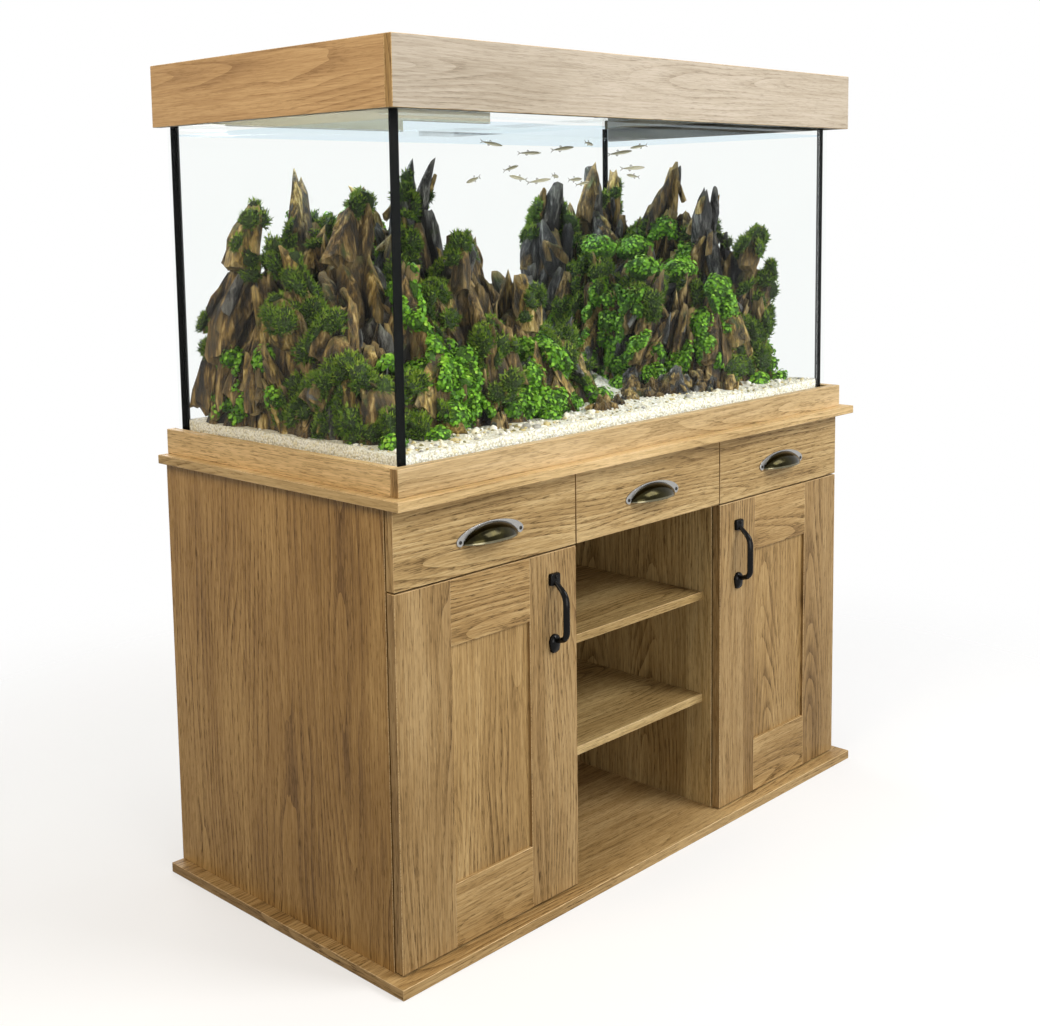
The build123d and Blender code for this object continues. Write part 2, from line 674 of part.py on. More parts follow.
def planting():
    """Gravel bed with a banked path, tall stones at both ends, a flat-topped terrace and low plants."""
    half = glass_inside_half - GRAVEL_CLEARANCE
    bed = board(
        (-half, glass_inside_front + GRAVEL_CLEARANCE, tank_floor + GLASS + SEAM),
        (half, glass_inside_back - GRAVEL_CLEARANCE, gravel_top),
    )
    corners = bed.edges().filter_by(Axis.Z)
    length_scale = glass_inside_half / LAYOUT_HALF_LENGTH
    depth_scale = (glass_inside_back - glass_inside_front) / LAYOUT_DEPTH
    start = glass_inside_front + depth_scale * BANK_FROM
    end = glass_inside_back - GRAVEL_CLEARANCE
    rise = BANK_RISE * TANK_HEIGHT / LAYOUT_HEIGHT
    left, right = (length_scale * side for side in BANK_SPAN)
    plan = ((left, start), (right, start), (right, end), (left, end))
    foot = [(x, y, gravel_top) for x, y in plan]
    lifts = (BANK_LIP, BANK_LIP, rise, rise)
    crest = [(x, y, gravel_top + lift) for (x, y), lift in zip(plan, lifts)]
    save("gravel_bed", chamfer(corners, BEAD), stepped_solid([foot, crest]))

    # Each stone: place along the tank and back from its front, width, depth, height, shape number
    ridge = (
        (-522, 508, 138, 148, 390, 1),
        (-380, 508, 138, 148, 450, 2),
        (-240, 510, 138, 144, 430, 3),
        (-100, 508, 138, 148, 385, 4),
        (34, 510, 126, 144, 320, 5),
        (-522, 366, 138, 130, 320, 6),
        (-380, 366, 138, 130, 395, 7),
        (-240, 368, 138, 126, 470, 8),
        (-100, 366, 138, 130, 340, 9),
        (34, 366, 126, 130, 250, 10),
        (-522, 236, 138, 126, 225, 11),
        (-380, 236, 138, 126, 285, 12),
        (-240, 236, 138, 126, 330, 13),
        (-100, 236, 138, 126, 250, 14),
        (30, 238, 118, 122, 165, 15),
        (-524, 134, 130, 76, 120, 40),
        (-386, 136, 124, 72, 150, 41),
        (-244, 134, 130, 76, 185, 42),
        (-106, 136, 124, 72, 130, 43),
    )
    save("ridge_rocks", *[clump(*stone, ROCK_STEPS) for stone in ridge])

    peaks = (
        (306, 508, 118, 148, 430, 16),
        (426, 508, 118, 148, 470, 18),
        (538, 508, 102, 148, 450, 20),
        (538, 366, 102, 130, 465, 21),
        (538, 236, 102, 126, 410, 46),
        (540, 130, 98, 80, 330, 48),
    )
    terrace = (
        (306, 366, 118, 130, 285, 17),
        (426, 366, 118, 130, 280, 19),
        (310, 240, 110, 116, 245, 44),
        (426, 238, 118, 120, 235, 45),
        (428, 132, 114, 84, 200, 47),
    )
    cliff = [clump(*stone, ROCK_STEPS) for stone in peaks]
    cliff += [clump(*stone, CLIFF_STEPS) for stone in terrace]
    save("cliff_rocks", *cliff)

    stones = (
        (182, 176, 52, 46, 40, 22),
        (236, 116, 74, 62, 56, 23),
        (328, 124, 62, 54, 40, 24),
        (372, 66, 50, 40, 28, 25),
        (96, 110, 46, 40, 24, 26),
        (-30, 74, 56, 44, 30, 27),
        (-312, 68, 54, 38, 30, 28),
    )
    save("loose_stones", *[clump(*stone, CUSHION_STEPS) for stone in stones])

    cushions = (
        (-556, 68, 60, 40, 22, 31),
        (-454, 68, 60, 40, 22, 32),
        (-176, 68, 56, 40, 20, 33),
        (-24, 150, 40, 60, 28, 34),
        (40, 132, 62, 60, 26, 35),
        (484, 66, 64, 40, 24, 37),
        (560, 66, 50, 40, 22, 38),
        (110, 190, 30, 60, 24, 39),
    )
    mounds = [clump(*cushion, CUSHION_STEPS) for cushion in cushions]
    for x, y, wide, deep, height, shape in terrace:
        meadow = (x, y, wide * MEADOW_SHARE, deep * MEADOW_SHARE, MEADOW_HEIGHT, shape)
        mounds.append(clump(*meadow, CUSHION_STEPS, height))
    save("plant_mounds", *mounds)


def hood():
    """Open-bottomed box over the tank rim: four boards, a fixed rear top, strips, and a hinged lid."""
    inside = hood_inside_half
    half = inside + HOOD_BOARD
    save(
        "hood_front",
        board((-half, hood_front, hood_bottom), (half, hood_inside_front, hood_top), ARRIS),
    )
    side = board((-half, hood_inside_front, hood_bottom), (-inside, back_plane, hood_top), ARRIS)
    save("hood_left_side", side)
    save("hood_right_side", mirrored(side))

    back_low = tank_rim + HOOD_RIM_CLEARANCE
    cut_low = back_low + HOOD_CUT_OUT_HEIGHT
    outline = make_face(
        Polyline(
            (-inside, back_low),
            (inside - HOOD_CUT_OUT, back_low),
            (inside - HOOD_CUT_OUT, cut_low),
            (inside, cut_low),
            (inside, hood_top),
            (-inside, hood_top),
            close=True,
        )
    )
    back = extrude(Plane.XZ * outline, amount=HOOD_BOARD)
    save("hood_back", Pos(0, back_plane, 0) * back)
    save(
        "hood_rear_top",
        board((-inside, rear_top_front, lid_under), (inside, hood_back_inside, lid_top), ARRIS),
    )
    lid_half = inside - LID_CLEARANCE
    lid_front = hood_inside_front + LID_FINGER_GAP
    save(
        "hood_lid",
        board((-lid_half, lid_front, lid_under), (lid_half, rear_top_front - LID_CLEARANCE, lid_top), ARRIS),
    )
    ledge = board(
        (-inside, hood_inside_front, lid_under - LEDGE_STRIP),
        (-inside + LEDGE_STRIP, hood_back_inside, lid_under),
    )
    rest = board(
        (-inside, hood_inside_front, tank_rim),
        (-inside + REST_STRIP_WIDTH, hood_back_inside, tank_rim + REST_STRIP_HEIGHT),
    )
    save("hood_strips", ledge, rest, mirrored(ledge), mirrored(rest))


def lid_hinges():
    """Two butt hinges along the lid's rear edge; the pin stays with the fixed leaf."""
    axis_y = rear_top_front - LID_CLEARANCE / 2
    axis_z = lid_top + KNUCKLE_RADIUS + LID_PIN_CLEARANCE
    pitch = LEAF_LENGTH / KNUCKLE_COUNT
    turned = (0, 90, 0)
    fixed = []
    moving = []
    for x in (-LID_HINGE_SPREAD, LID_HINGE_SPREAD):
        leaves = {}
        for side in (1, -1):
            near = axis_y + side * (KNUCKLE_RADIUS + KNUCKLE_GAP)
            far = axis_y + side * LEAF_WIDTH
            leaves[side] = board(
                (x - LEAF_LENGTH / 2, min(near, far), lid_top),
                (x + LEAF_LENGTH / 2, max(near, far), lid_top + LEAF),
            )
        for number in range(KNUCKLE_COUNT):
            side = -1 if number % 2 == 0 else 1
            low = x - LEAF_LENGTH / 2 + number * pitch + KNUCKLE_GAP / 2
            length = pitch - KNUCKLE_GAP
            near = axis_y + side * (KNUCKLE_RADIUS + KNUCKLE_GAP)
            tab = board((low, min(axis_y, near), lid_top), (low + length, max(axis_y, near), lid_top + LEAF))
            barrel = Pos(low + length / 2, axis_y, axis_z) * Cylinder(
                KNUCKLE_RADIUS, length, rotation=turned
            )
            leaves[side] += tab + barrel
        pin_hole = Cylinder(LID_PIN_RADIUS + LID_PIN_CLEARANCE, LEAF_LENGTH, rotation=turned)
        pin = Cylinder(LID_PIN_RADIUS, LEAF_LENGTH, rotation=turned)
        moving.append(leaves[-1] - Pos(x, axis_y, axis_z) * pin_hole)
        fixed.append(leaves[1] + Pos(x, axis_y, axis_z) * pin)
    save("lid_hinge_fixed_leaves", *fixed)
    save("lid_hinge_moving_leaves", *moving)


def lights():
    """Two light bars under the rear top, each with a diffuser, two end caps and two hangers."""
    half = LIGHT_WIDTH / 2
    low = -LIGHT_DROP - LIGHT_HEIGHT
    bar_outline = make_face(
        Polyline(
            (-half, low),
            (half, low),
            (half, -LIGHT_DROP - LIGHT_BEVEL),
            (half - LIGHT_BEVEL, -LIGHT_DROP),
            (LIGHT_BEVEL - half, -LIGHT_DROP),
            (-half, -LIGHT_DROP - LIGHT_BEVEL),
            close=True,
        )
    )
    hold = half + HANGER_CLEARANCE
    lip_top = low - HANGER_CLEARANCE
    hanger_half = [
        (hold + HANGER_WALL, 0),
        (hold + HANGER_WALL, lip_top - HANGER_WALL),
        (hold - HANGER_LIP, lip_top - HANGER_WALL),
        (hold - HANGER_LIP, lip_top),
        (hold, lip_top),
        (hold, -LIGHT_DROP),
    ]
    hanger_outline = make_face(
        Polyline(*hanger_half, *[(-across, up) for across, up in reversed(hanger_half)], close=True)
    )
    bar = extrude(Plane.YZ * bar_outline, amount=light_half, both=True)
    hanger = extrude(Plane.YZ * hanger_outline, amount=HANGER_LENGTH / 2, both=True)
    diffuser = board(
        (-light_half, -DIFFUSER_WIDTH / 2, low - DIFFUSER_THICK), (light_half, DIFFUSER_WIDTH / 2, low)
    )
    cap = board(
        (light_half, -half - LIGHT_CAP_LIP, low - DIFFUSER_THICK - LIGHT_CAP_LIP),
        (light_half + LIGHT_CAP, half + LIGHT_CAP_LIP, LIGHT_CAP_LIP - LIGHT_DROP),
        ARRIS,
    )

    middle = (rear_top_front + hood_back_inside) / 2
    places = [Pos(0, middle + side * LIGHT_SPACING / 2, lid_under) for side in (-1, 1)]
    save("light_bars", *[place * bar for place in places])
    save("light_diffusers", *[place * diffuser for place in places])
    save("light_end_caps", *[place * each for place in places for each in (cap, mirrored(cap))])
    hangers = [Pos(side * HANGER_SPREAD, 0, 0) * hanger for side in (-1, 1)]
    save("light_hangers", *[place * each for place in places for each in hangers])



cabinet_boards()
bay_shelves()
drawers()
doors()
tank()
planting()
hood()
lid_hinges()
lights()
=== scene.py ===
"""Planted aquarium on an oak-effect cabinet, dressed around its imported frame."""
from math import cos, pi, radians, sin, sqrt

import bmesh
import bpy
import numpy as np
from mathutils import Euler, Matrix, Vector, noise
from mathutils.bvhtree import BVHTree


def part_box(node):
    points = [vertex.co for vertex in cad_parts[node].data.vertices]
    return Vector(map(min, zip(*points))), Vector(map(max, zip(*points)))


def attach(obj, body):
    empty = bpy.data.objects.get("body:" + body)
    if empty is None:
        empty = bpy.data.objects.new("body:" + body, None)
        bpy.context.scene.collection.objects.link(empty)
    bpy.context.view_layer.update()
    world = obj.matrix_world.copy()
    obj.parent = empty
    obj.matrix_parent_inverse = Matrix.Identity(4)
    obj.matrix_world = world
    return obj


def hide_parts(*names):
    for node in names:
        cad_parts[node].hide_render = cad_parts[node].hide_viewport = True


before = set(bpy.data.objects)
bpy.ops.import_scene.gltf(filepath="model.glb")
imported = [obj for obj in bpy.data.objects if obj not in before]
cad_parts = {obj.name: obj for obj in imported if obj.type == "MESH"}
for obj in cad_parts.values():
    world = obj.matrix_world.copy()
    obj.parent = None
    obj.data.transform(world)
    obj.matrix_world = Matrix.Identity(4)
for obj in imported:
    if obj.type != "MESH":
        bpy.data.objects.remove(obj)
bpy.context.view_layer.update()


# Cabinet boards
# Chipboard faced in oak-effect laminate, the grain upright on the ends and dividers and level elsewhere.
# The ends and dividers stand on the base board, dowelled, and carry the top ledge with its upstand trim.
def maths(operation):
    """A method that adds a Math node of that operation to a socket."""
    def method(self, other=0.0):
        return self.node("Math", {"operation": operation}, {0: self, 1: other})
    return method


class Socket:
    """A socket in a material: arithmetic on it adds Math nodes, and node adds any other kind."""

    __add__ = __radd__ = maths("ADD")
    __sub__ = maths("SUBTRACT")
    __mul__ = __rmul__ = maths("MULTIPLY")
    __truediv__ = maths("DIVIDE")
    __pow__ = maths("POWER")
    floor = maths("FLOOR")
    root = maths("SQRT")
    larger = maths("MAXIMUM")

    def __init__(self, tree, out):
        self.tree = tree
        self.out = out

    def node(self, kind, settings, inputs, output=0):
        made = self.tree.nodes.new("ShaderNode" + kind)
        for name, value in settings.items():
            if name != "stops":
                setattr(made, name, value)
                continue
            while len(made.color_ramp.elements) < len(value):
                made.color_ramp.elements.new(1.0)
            for stop, (place, colour) in zip(made.color_ramp.elements, value):
                stop.position = place
                stop.color = (*colour, 1.0)
        for name, value in inputs.items():
            if isinstance(value, Socket):
                self.tree.links.new(value.out, made.inputs[name])
            elif isinstance(value, tuple) and made.inputs[name].type == "RGBA":
                made.inputs[name].default_value = (*value, 1.0)
            else:
                made.inputs[name].default_value = value
        return Socket(self.tree, made.outputs[output] if len(made.outputs) else None)

    def __rsub__(self, other):
        return self.node("Math", {"operation": "SUBTRACT"}, {0: other, 1: self})

    def between(self, low, high):
        """0 below low and 1 above high, smooth between them."""
        return self.node("MapRange", {"interpolation_type": "SMOOTHSTEP"}, {0: self, 1: low, 2: high})

    def mix(self, low, high):
        """A colour: low where this socket is 0 and high where it is 1."""
        return self.node("Mix", {"data_type": "RGBA"}, {0: self, 6: low, 7: high}, 2)

    def axes(self):
        return [self.node("SeparateXYZ", {}, {0: self}, index) for index in range(3)]

    def stretched(self, scales):
        return self.node("VectorMath", {"operation": "MULTIPLY"}, {0: self, 1: scales})

    def speckle(self, detail, scale=1.0, roughness=0.55):
        return self.node(
            "TexNoise", {}, {"Vector": self, "Scale": scale, "Detail": detail, "Roughness": roughness}
        )

    def bump(self, distance, strength=1.0):
        return self.node("Bump", {}, {"Height": self, "Distance": distance, "Strength": strength})

    def cells(self, scale, output="Distance"):
        return self.node("TexVoronoi", {}, {"Vector": self, "Scale": scale}, output)

    def output(self, shader):
        self.node("OutputMaterial", {}, {"Surface": shader})

    def surface(self, colour, roughness, relief=None, settings={}):
        inputs = {"Base Color": colour, "Roughness": roughness, **settings}
        if relief:
            inputs["Normal"] = relief
        self.output(self.node("BsdfPrincipled", {}, inputs))


def new_material(name):
    """An empty material, and the socket of its coordinates in metres."""
    made = bpy.data.materials.new(name)
    made.use_nodes = True
    made.node_tree.nodes.clear()
    coordinates = made.node_tree.nodes.new("ShaderNodeTexCoord")
    return made, Socket(made.node_tree, coordinates.outputs["Object"])


def oak(name, grain, pale, mid, dark, porous=1.0, stave_width=0.150):
    """Oak print in staves: arched growth rings picked out by short dark pores, under soft clouds of tone."""
    ring_width = 0.057 * stave_width
    made, place = new_material(name)
    axes = place.axes()
    along = axes.pop(grain)
    across = axes[0] + axes[1] + 4.05

    def figure(fine, long, detail):
        stretched = place.node("CombineXYZ", {}, {0: across * fine, 1: along * long, 2: 0.3})
        return stretched.speckle(detail)

    sway = figure(6.0, 0.9, 2.0) - 0.5
    staves = (across + sway * 0.05) / stave_width
    number = staves.floor()
    chance = place.node("TexWhiteNoise", {"noise_dimensions": "1D"}, {"W": number}, 1)
    shift, deep, tilt = chance.axes()
    off_heart = (staves - number - 0.5) * stave_width + (shift - 0.5) * 0.09 + sway * 0.06
    heart = 0.004 + deep * 0.03 + along * ((tilt - 0.5) * 0.16) + (figure(2.5, 1.1, 2.0) - 0.5) * 0.11
    rings = (off_heart ** 2.0 + heart ** 2.0).root() / ring_width + figure(34.0, 4.0, 2.0) * 0.8
    early = (1.0 - (rings - rings.floor())) ** 2.0
    cloud = figure(8.0, 1.7, 3.0)
    streak = figure(50.0, 2.2, 3.0)
    fibre = figure(400.0, 11.0, 3.0)
    pores = figure(640.0, 46.0, 2.0).between(0.50, 0.62)
    busy = figure(11.0, 2.4, 2.0).between(0.40, 0.62)
    tone = 0.30 + (cloud - 0.5) * 1.3 + (streak - 0.5) * 0.7 + (fibre - 0.5) * 1.3
    tone = tone + early * (0.14 + 0.36 * busy) + (deep - 0.5) * 0.24
    wood = tone.node("ValToRGB", {"stops": [(0.0, pale), (0.45, mid), (1.0, dark)]}, {0: tone})
    darker = tuple(0.55 * value for value in dark)
    wood = (pores * (0.24 + early * (0.34 + 0.6 * busy)) * porous).mix(wood, darker)
    relief = (fibre * 0.4 - pores * 0.8).bump(0.0004, 0.3)
    place.surface(wood, 0.46 + 0.2 * pores, relief, {"Specular IOR Level": 0.22})
    return made


def dress(materials, choose, *names):
    """Give CAD nodes their materials; choose picks one for each face by its place in the list."""
    for name in names:
        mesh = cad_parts[name].data
        mesh.materials.clear()
        for material in materials:
            mesh.materials.append(material)
        for face in mesh.polygons:
            face.material_index = choose(face) if choose else 0


def toned(tones, tint):
    """The tones of a print, each multiplied by a tint."""
    return [tuple(value * share for value, share in zip(tone, tint)) for tone in tones]


def banded(face):
    """1 for the small bevels along a board's edges, 2 for its ends, 0 for its other faces."""
    if max(abs(value) for value in face.normal) < 0.97:
        return 1
    return 2 if abs(face.normal.x) > 0.97 else 0


def board(flat, ends, *names):
    """Boards in one print, another on their ends, and a painted highlight of paler print on their bevels."""
    dress((flat, oak_edge_painted_highlight, ends), banded, *names)


OAK_TONES = ((0.52, 0.355, 0.160), (0.360, 0.225, 0.086), (0.17, 0.094, 0.029))
oak_upright = oak("oak_upright", 2, *OAK_TONES)
oak_level = oak("oak_level", 0, *OAK_TONES)
oak_deep = oak("oak_deep", 1, *OAK_TONES)
# The small bevels take a paler print, a painted highlight along the board edges.
oak_edge_painted_highlight = oak("oak_edge_painted_highlight", 0, (0.66, 0.49, 0.27), (0.54, 0.37, 0.18), (0.38, 0.24, 0.10))
# The end panels take a warmer, less blue copy of the print, painted warm light; their wider staves are the
# print's own.
end_upright_painted_warm_light = oak("end_upright_painted_warm_light", 2, *toned(OAK_TONES, (0.98, 0.91, 0.78)), 1.0, 0.195)
board(end_upright_painted_warm_light, end_upright_painted_warm_light, "left_end_panel", "right_end_panel")
board(oak_level, oak_deep, "base_board", "dust_boards")
# The dividers and shelves of the open bay take a paler, greener copy of the print, painted light in the bay.
BAY_PAINTED_LIGHT_TONES = ((0.56, 0.410, 0.190), (0.390, 0.262, 0.104), (0.19, 0.114, 0.036))
bay_upright_painted_light = oak("bay_upright_painted_light", 2, *BAY_PAINTED_LIGHT_TONES)
bay_level_painted_light = oak("bay_level_painted_light", 0, *BAY_PAINTED_LIGHT_TONES)
board(bay_upright_painted_light, bay_upright_painted_light, "left_divider", "right_divider")
board(bay_level_painted_light, oak_deep, "bay_shelves")
# The top board and trim take a paler copy of the print, painted light from above, with tinted copies for
# their fronts, ends and sides as painted light and shade by how each faces.
TRIM_PAINTED_LIGHT_TONES = ((0.72, 0.52, 0.270), (0.56, 0.390, 0.180), (0.33, 0.210, 0.080))
ledge_level_painted_light = oak("ledge_level_painted_light", 0, *TRIM_PAINTED_LIGHT_TONES, 0.7)
ledge_deep_painted_light = oak("ledge_deep_painted_light", 1, *toned(TRIM_PAINTED_LIGHT_TONES, (0.86, 0.85, 0.80)), 0.7)
trim_level_painted_light = oak("trim_level_painted_light", 0, *toned(TRIM_PAINTED_LIGHT_TONES, (0.85, 0.87, 0.93)), 0.9)
trim_deep_painted_light = oak("trim_deep_painted_light", 1, *toned(TRIM_PAINTED_LIGHT_TONES, (1.18, 1.20, 1.25)), 1.3)
board(ledge_level_painted_light, ledge_deep_painted_light, "top_board")
board(trim_level_painted_light, oak_upright, "front_trim")
board(trim_deep_painted_light, trim_deep_painted_light, "side_trims")


# Cabinet backs
# Thin hardboard let into the rear edges, printed like the boards on its inner face and bare behind,
# where the pressed fibre shows. The cupboard backs stop short at the top for hoses and leads.
hardboard, place = new_material("hardboard")
fibres = place.stretched((260.0, 60.0, 190.0)).speckle(4.0)
blotches = place.speckle(5.0, 26.0, 0.65)
tan = fibres.between(0.3, 0.7).mix((0.17, 0.098, 0.048), (0.36, 0.228, 0.120))
brown = (0.5 * blotches.between(0.4, 0.7)).mix(tan, (0.20, 0.120, 0.060))
place.surface(brown, 0.6 + 0.25 * fibres, fibres.bump(0.0005, 0.4))
# The inner face takes a paler copy of the print, painted light on the shaded backs of the cupboards and bay.
printed_back_painted_light = oak("printed_back_painted_light", 2, (0.64, 0.49, 0.250), (0.50, 0.370, 0.175), (0.29, 0.200, 0.082))
dress((hardboard, printed_back_painted_light), lambda face: int(face.normal.y < -0.9), "back_panels")


# Runners and cabinet hinges
# Pressed steel, zinc plated and passivated, so it has a faint straw and blue cast and fine rolling lines.
# The channels and the hinge arms are screwed to the uprights and the rails to the drawer boxes, and the cups
# are let into the doors.
zinc, place = new_material("zinc_steel")
rolling = place.stretched((300.0, 14.0, 300.0)).speckle(3.0)
cast = place.speckle(2.0, 34.0)
plating = cast.between(0.3, 0.7).mix((0.62, 0.60, 0.53), (0.52, 0.55, 0.60))
place.surface(plating, 0.26 + 0.2 * rolling, rolling.bump(0.0003, 0.3), {"Metallic": 1.0})
drawers = ("left", "centre", "right")
dress((zinc,), None, "runner_channels", "hinge_arms", "left_hinge_cups", "right_hinge_cups")
dress((zinc,), None, *[side + "_drawer_rails" for side in drawers])


# Drawers
# Boxes of birch-faced board behind oak-effect fronts whose grain runs level. The fronts are screwed on
# from inside the boxes.
birch, place = new_material("drawer_board")
curl = place.stretched((5.0, 5.0, 38.0)).speckle(4.0, 1.0, 0.6)
fleck = place.stretched((60.0, 60.0, 700.0)).speckle(2.0)
veneer = curl.between(0.3, 0.7).mix((0.68, 0.55, 0.38), (0.56, 0.42, 0.26))
veneer = fleck.between(0.58, 0.75).mix(veneer, (0.47, 0.34, 0.20))
place.surface(veneer, 0.5 + 0.15 * fleck, curl.bump(0.0003, 0.3))
dress((birch,), None, *[side + "_drawer_box" for side in drawers])
# The drawer fronts take a paler, bluer copy of the print, painted light.
drawer_level_painted_light = oak("drawer_level_painted_light", 0, *toned(OAK_TONES, (1.13, 1.20, 1.30)))
board(drawer_level_painted_light, oak_upright, *[side + "_drawer_front" for side in drawers])


# Cup pulls
# Cast pulls, screwed to the drawer fronts: an arched back plate of bright nickel that widens to two
# screwed ends, and over it a hollow quarter dome in dark lacquered bronze with a rolled lip.
bronze, place = new_material("dark_bronze")
cloud = place.speckle(3.0, 55.0)
patina = cloud.between(0.3, 0.75).mix((0.010, 0.008, 0.001), (0.030, 0.025, 0.005))
dimples = place.speckle(2.0, 160.0).bump(0.0002, 0.2)
place.surface(patina, 0.12 + 0.10 * cloud, dimples, {"Metallic": 0.85})
# The rolled lip is in a paler bronze, a painted highlight along its edge.
lip_painted_highlight, place = new_material("lip_bronze_painted_highlight")
lip_streaks = place.stretched((90.0, 90.0, 400.0)).speckle(3.0)
lip_highlight_colour = lip_streaks.mix((0.07, 0.060, 0.028), (0.26, 0.235, 0.16))
place.surface(lip_highlight_colour, 0.16 + 0.14 * lip_streaks, None, {"Metallic": 1.0})


def figured(name, scales, detail, colours, rough, relief, settings):
    """A finish with one fine figure, which mixes two colours and which roughness and relief follow."""
    made, place = new_material(name)
    figure = place.stretched(scales).speckle(detail)
    place.surface(figure.mix(*colours), rough[0] + rough[1] * figure, figure.bump(*relief), settings)
    return made


nickel = figured(
    "bright_nickel", (60.0, 60.0, 900.0), 3.0, ((0.34, 0.335, 0.32), (0.46, 0.45, 0.43)),
    (0.2, 0.1), (0.0001, 0.2), {"Metallic": 1.0}
)
screw_dark = figured(
    "dark_screw", (420.0, 420.0, 420.0), 3.0, ((0.02, 0.02, 0.018), (0.07, 0.065, 0.06)),
    (0.3, 0.2), (0.0003, 0.4), {"Metallic": 0.8}
)


def mesh_piece(name, corners, faces, materials, picks=None, smooth=True):
    """A mesh object of the given corners and faces, with one material or a pick for each face."""
    mesh = bpy.data.meshes.new(name)
    mesh.from_pydata([tuple(corner) for corner in corners], [], faces)
    for material in materials:
        mesh.materials.append(material)
    if picks is not None:
        mesh.polygons.foreach_set("material_index", np.asarray(picks, dtype=np.int32))
    mesh.polygons.foreach_set("use_smooth", np.full(len(faces), smooth))
    mesh.update()
    piece = bpy.data.objects.new(name, mesh)
    bpy.context.collection.objects.link(piece)
    return piece


def belongs(piece, body, slot, *nodes):
    """The piece moves with a body and stands for any CAD nodes named; the slot is not used."""
    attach(piece, body)
    if nodes:
        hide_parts(*nodes)


def circle(count):
    """Angles of a count of even steps round a circle."""
    return [2.0 * pi * step / count for step in range(count)]


def sweep(rings, closed):
    """Faces that join equal rings of corners in turn; closed joins the last corner to the first."""
    count = len(rings[0])
    faces = []
    for row in range(len(rings) - 1):
        for step in range(count if closed else count - 1):
            first = row * count + step
            second = row * count + (step + 1) % count
            faces.append((first, second, second + count, first + count))
    return faces


def tube(rings, capped=True):
    """Corners and faces of a tube through closed rings of corners."""
    count = len(rings[0])
    corners = [corner for ring in rings for corner in ring]
    faces = sweep(rings, True)
    if capped:
        faces += [tuple(reversed(range(count))), tuple(range(len(corners) - count, len(corners)))]
    return corners, faces


def welded(name, origin, lots, materials):
    """One object of lots of corners and faces, measured from an origin, with a pick for each face."""
    shape = bmesh.new()
    for (corners, faces), picks, smooth in lots:
        verts = [shape.verts.new((origin[0] + x, origin[1] + y, origin[2] + z)) for x, y, z in corners]
        for numbers, pick in zip(faces, picks):
            face = shape.faces.new([verts[number] for number in numbers])
            face.material_index = pick
            face.smooth = smooth and len(numbers) == 4
    bmesh.ops.recalc_face_normals(shape, faces=shape.faces)
    mesh = bpy.data.meshes.new(name)
    shape.to_mesh(mesh)
    shape.free()
    for material in materials:
        mesh.materials.append(material)
    piece = bpy.data.objects.new(name, mesh)
    bpy.context.collection.objects.link(piece)
    return piece


def hump(half, rise, place):
    """Height of a low arch, steep at its ends, above its springing line at a place along it."""
    return rise * max(0.0, 1.0 - (place / half) ** 2.0) ** 0.58


def cup_dome(half, rise, wall):
    """Outer skin, rolled lip and inner skin of the hollow dome, as rings from left to right."""
    turns = [radians(90.0 * step / 14.0) for step in range(15)]
    rings = []
    for step in range(45):
        place = -half * cos(pi * step / 44.0)
        out = max(hump(half, rise, place), 0.0008)
        inner = max(out - wall, 0.0003)
        ring = [(place, -out * sin(turn), out * cos(turn)) for turn in turns]
        for turn in range(1, 8):
            angle = pi * turn / 8.0
            middle = (out + inner) / 2.0
            bead = (out - inner) / 2.0
            ring.append((place, -middle - bead * 1.3 * cos(angle), -bead * 1.5 * sin(angle)))
        ring += [(place, -inner * sin(turn), inner * cos(turn)) for turn in reversed(turns)]
        rings.append(ring)
    return rings


# Share of the bevel drawn in, and depth, at each corner of the plate's edge
PLATE_EDGE = ((0.0, 0.0), (0.0, 0.0017), (0.4, 0.0023), (1.0, 0.0025))


def plate_rings(half, rise, end, dome_half, dome_rise):
    """Rings round the back plate's section, from its rounded left end over the arch to its right end."""
    caps = []
    for step in range(9):
        angle = pi / 2.0 * (0.97 - step / 9.0)
        reach = (half - dome_half) / 2.0 * cos(angle)
        middle = (half + dome_half) / 2.0
        level = end * (1.0 - 1.4 * sin(angle))
        caps.append(((-middle - reach, level), (-middle + reach, level)))
    pairs = list(caps)
    for step in range(49):
        place = -cos(pi * step / 48.0)
        outer = (half * place, end + hump(1.0, rise - end, place))
        pairs.append((outer, (dome_half * place, max(end, hump(1.0, dome_rise, place)))))
    pairs += [((-outer[0], outer[1]), (-inner[0], inner[1])) for outer, inner in reversed(caps)]
    rings = []
    for outer, inner in pairs:
        outer, inner = Vector(outer), Vector(inner)
        bevel = min(0.0014, 0.3 * (inner - outer).length)
        run = (inner - outer).normalized()
        section = [(outer + run * bevel * share, out) for share, out in PLATE_EDGE]
        section += [(inner - run * bevel * share, out) for share, out in reversed(PLATE_EDGE)]
        rings.append([(point.x, -out, point.y) for point, out in section])
    return rings


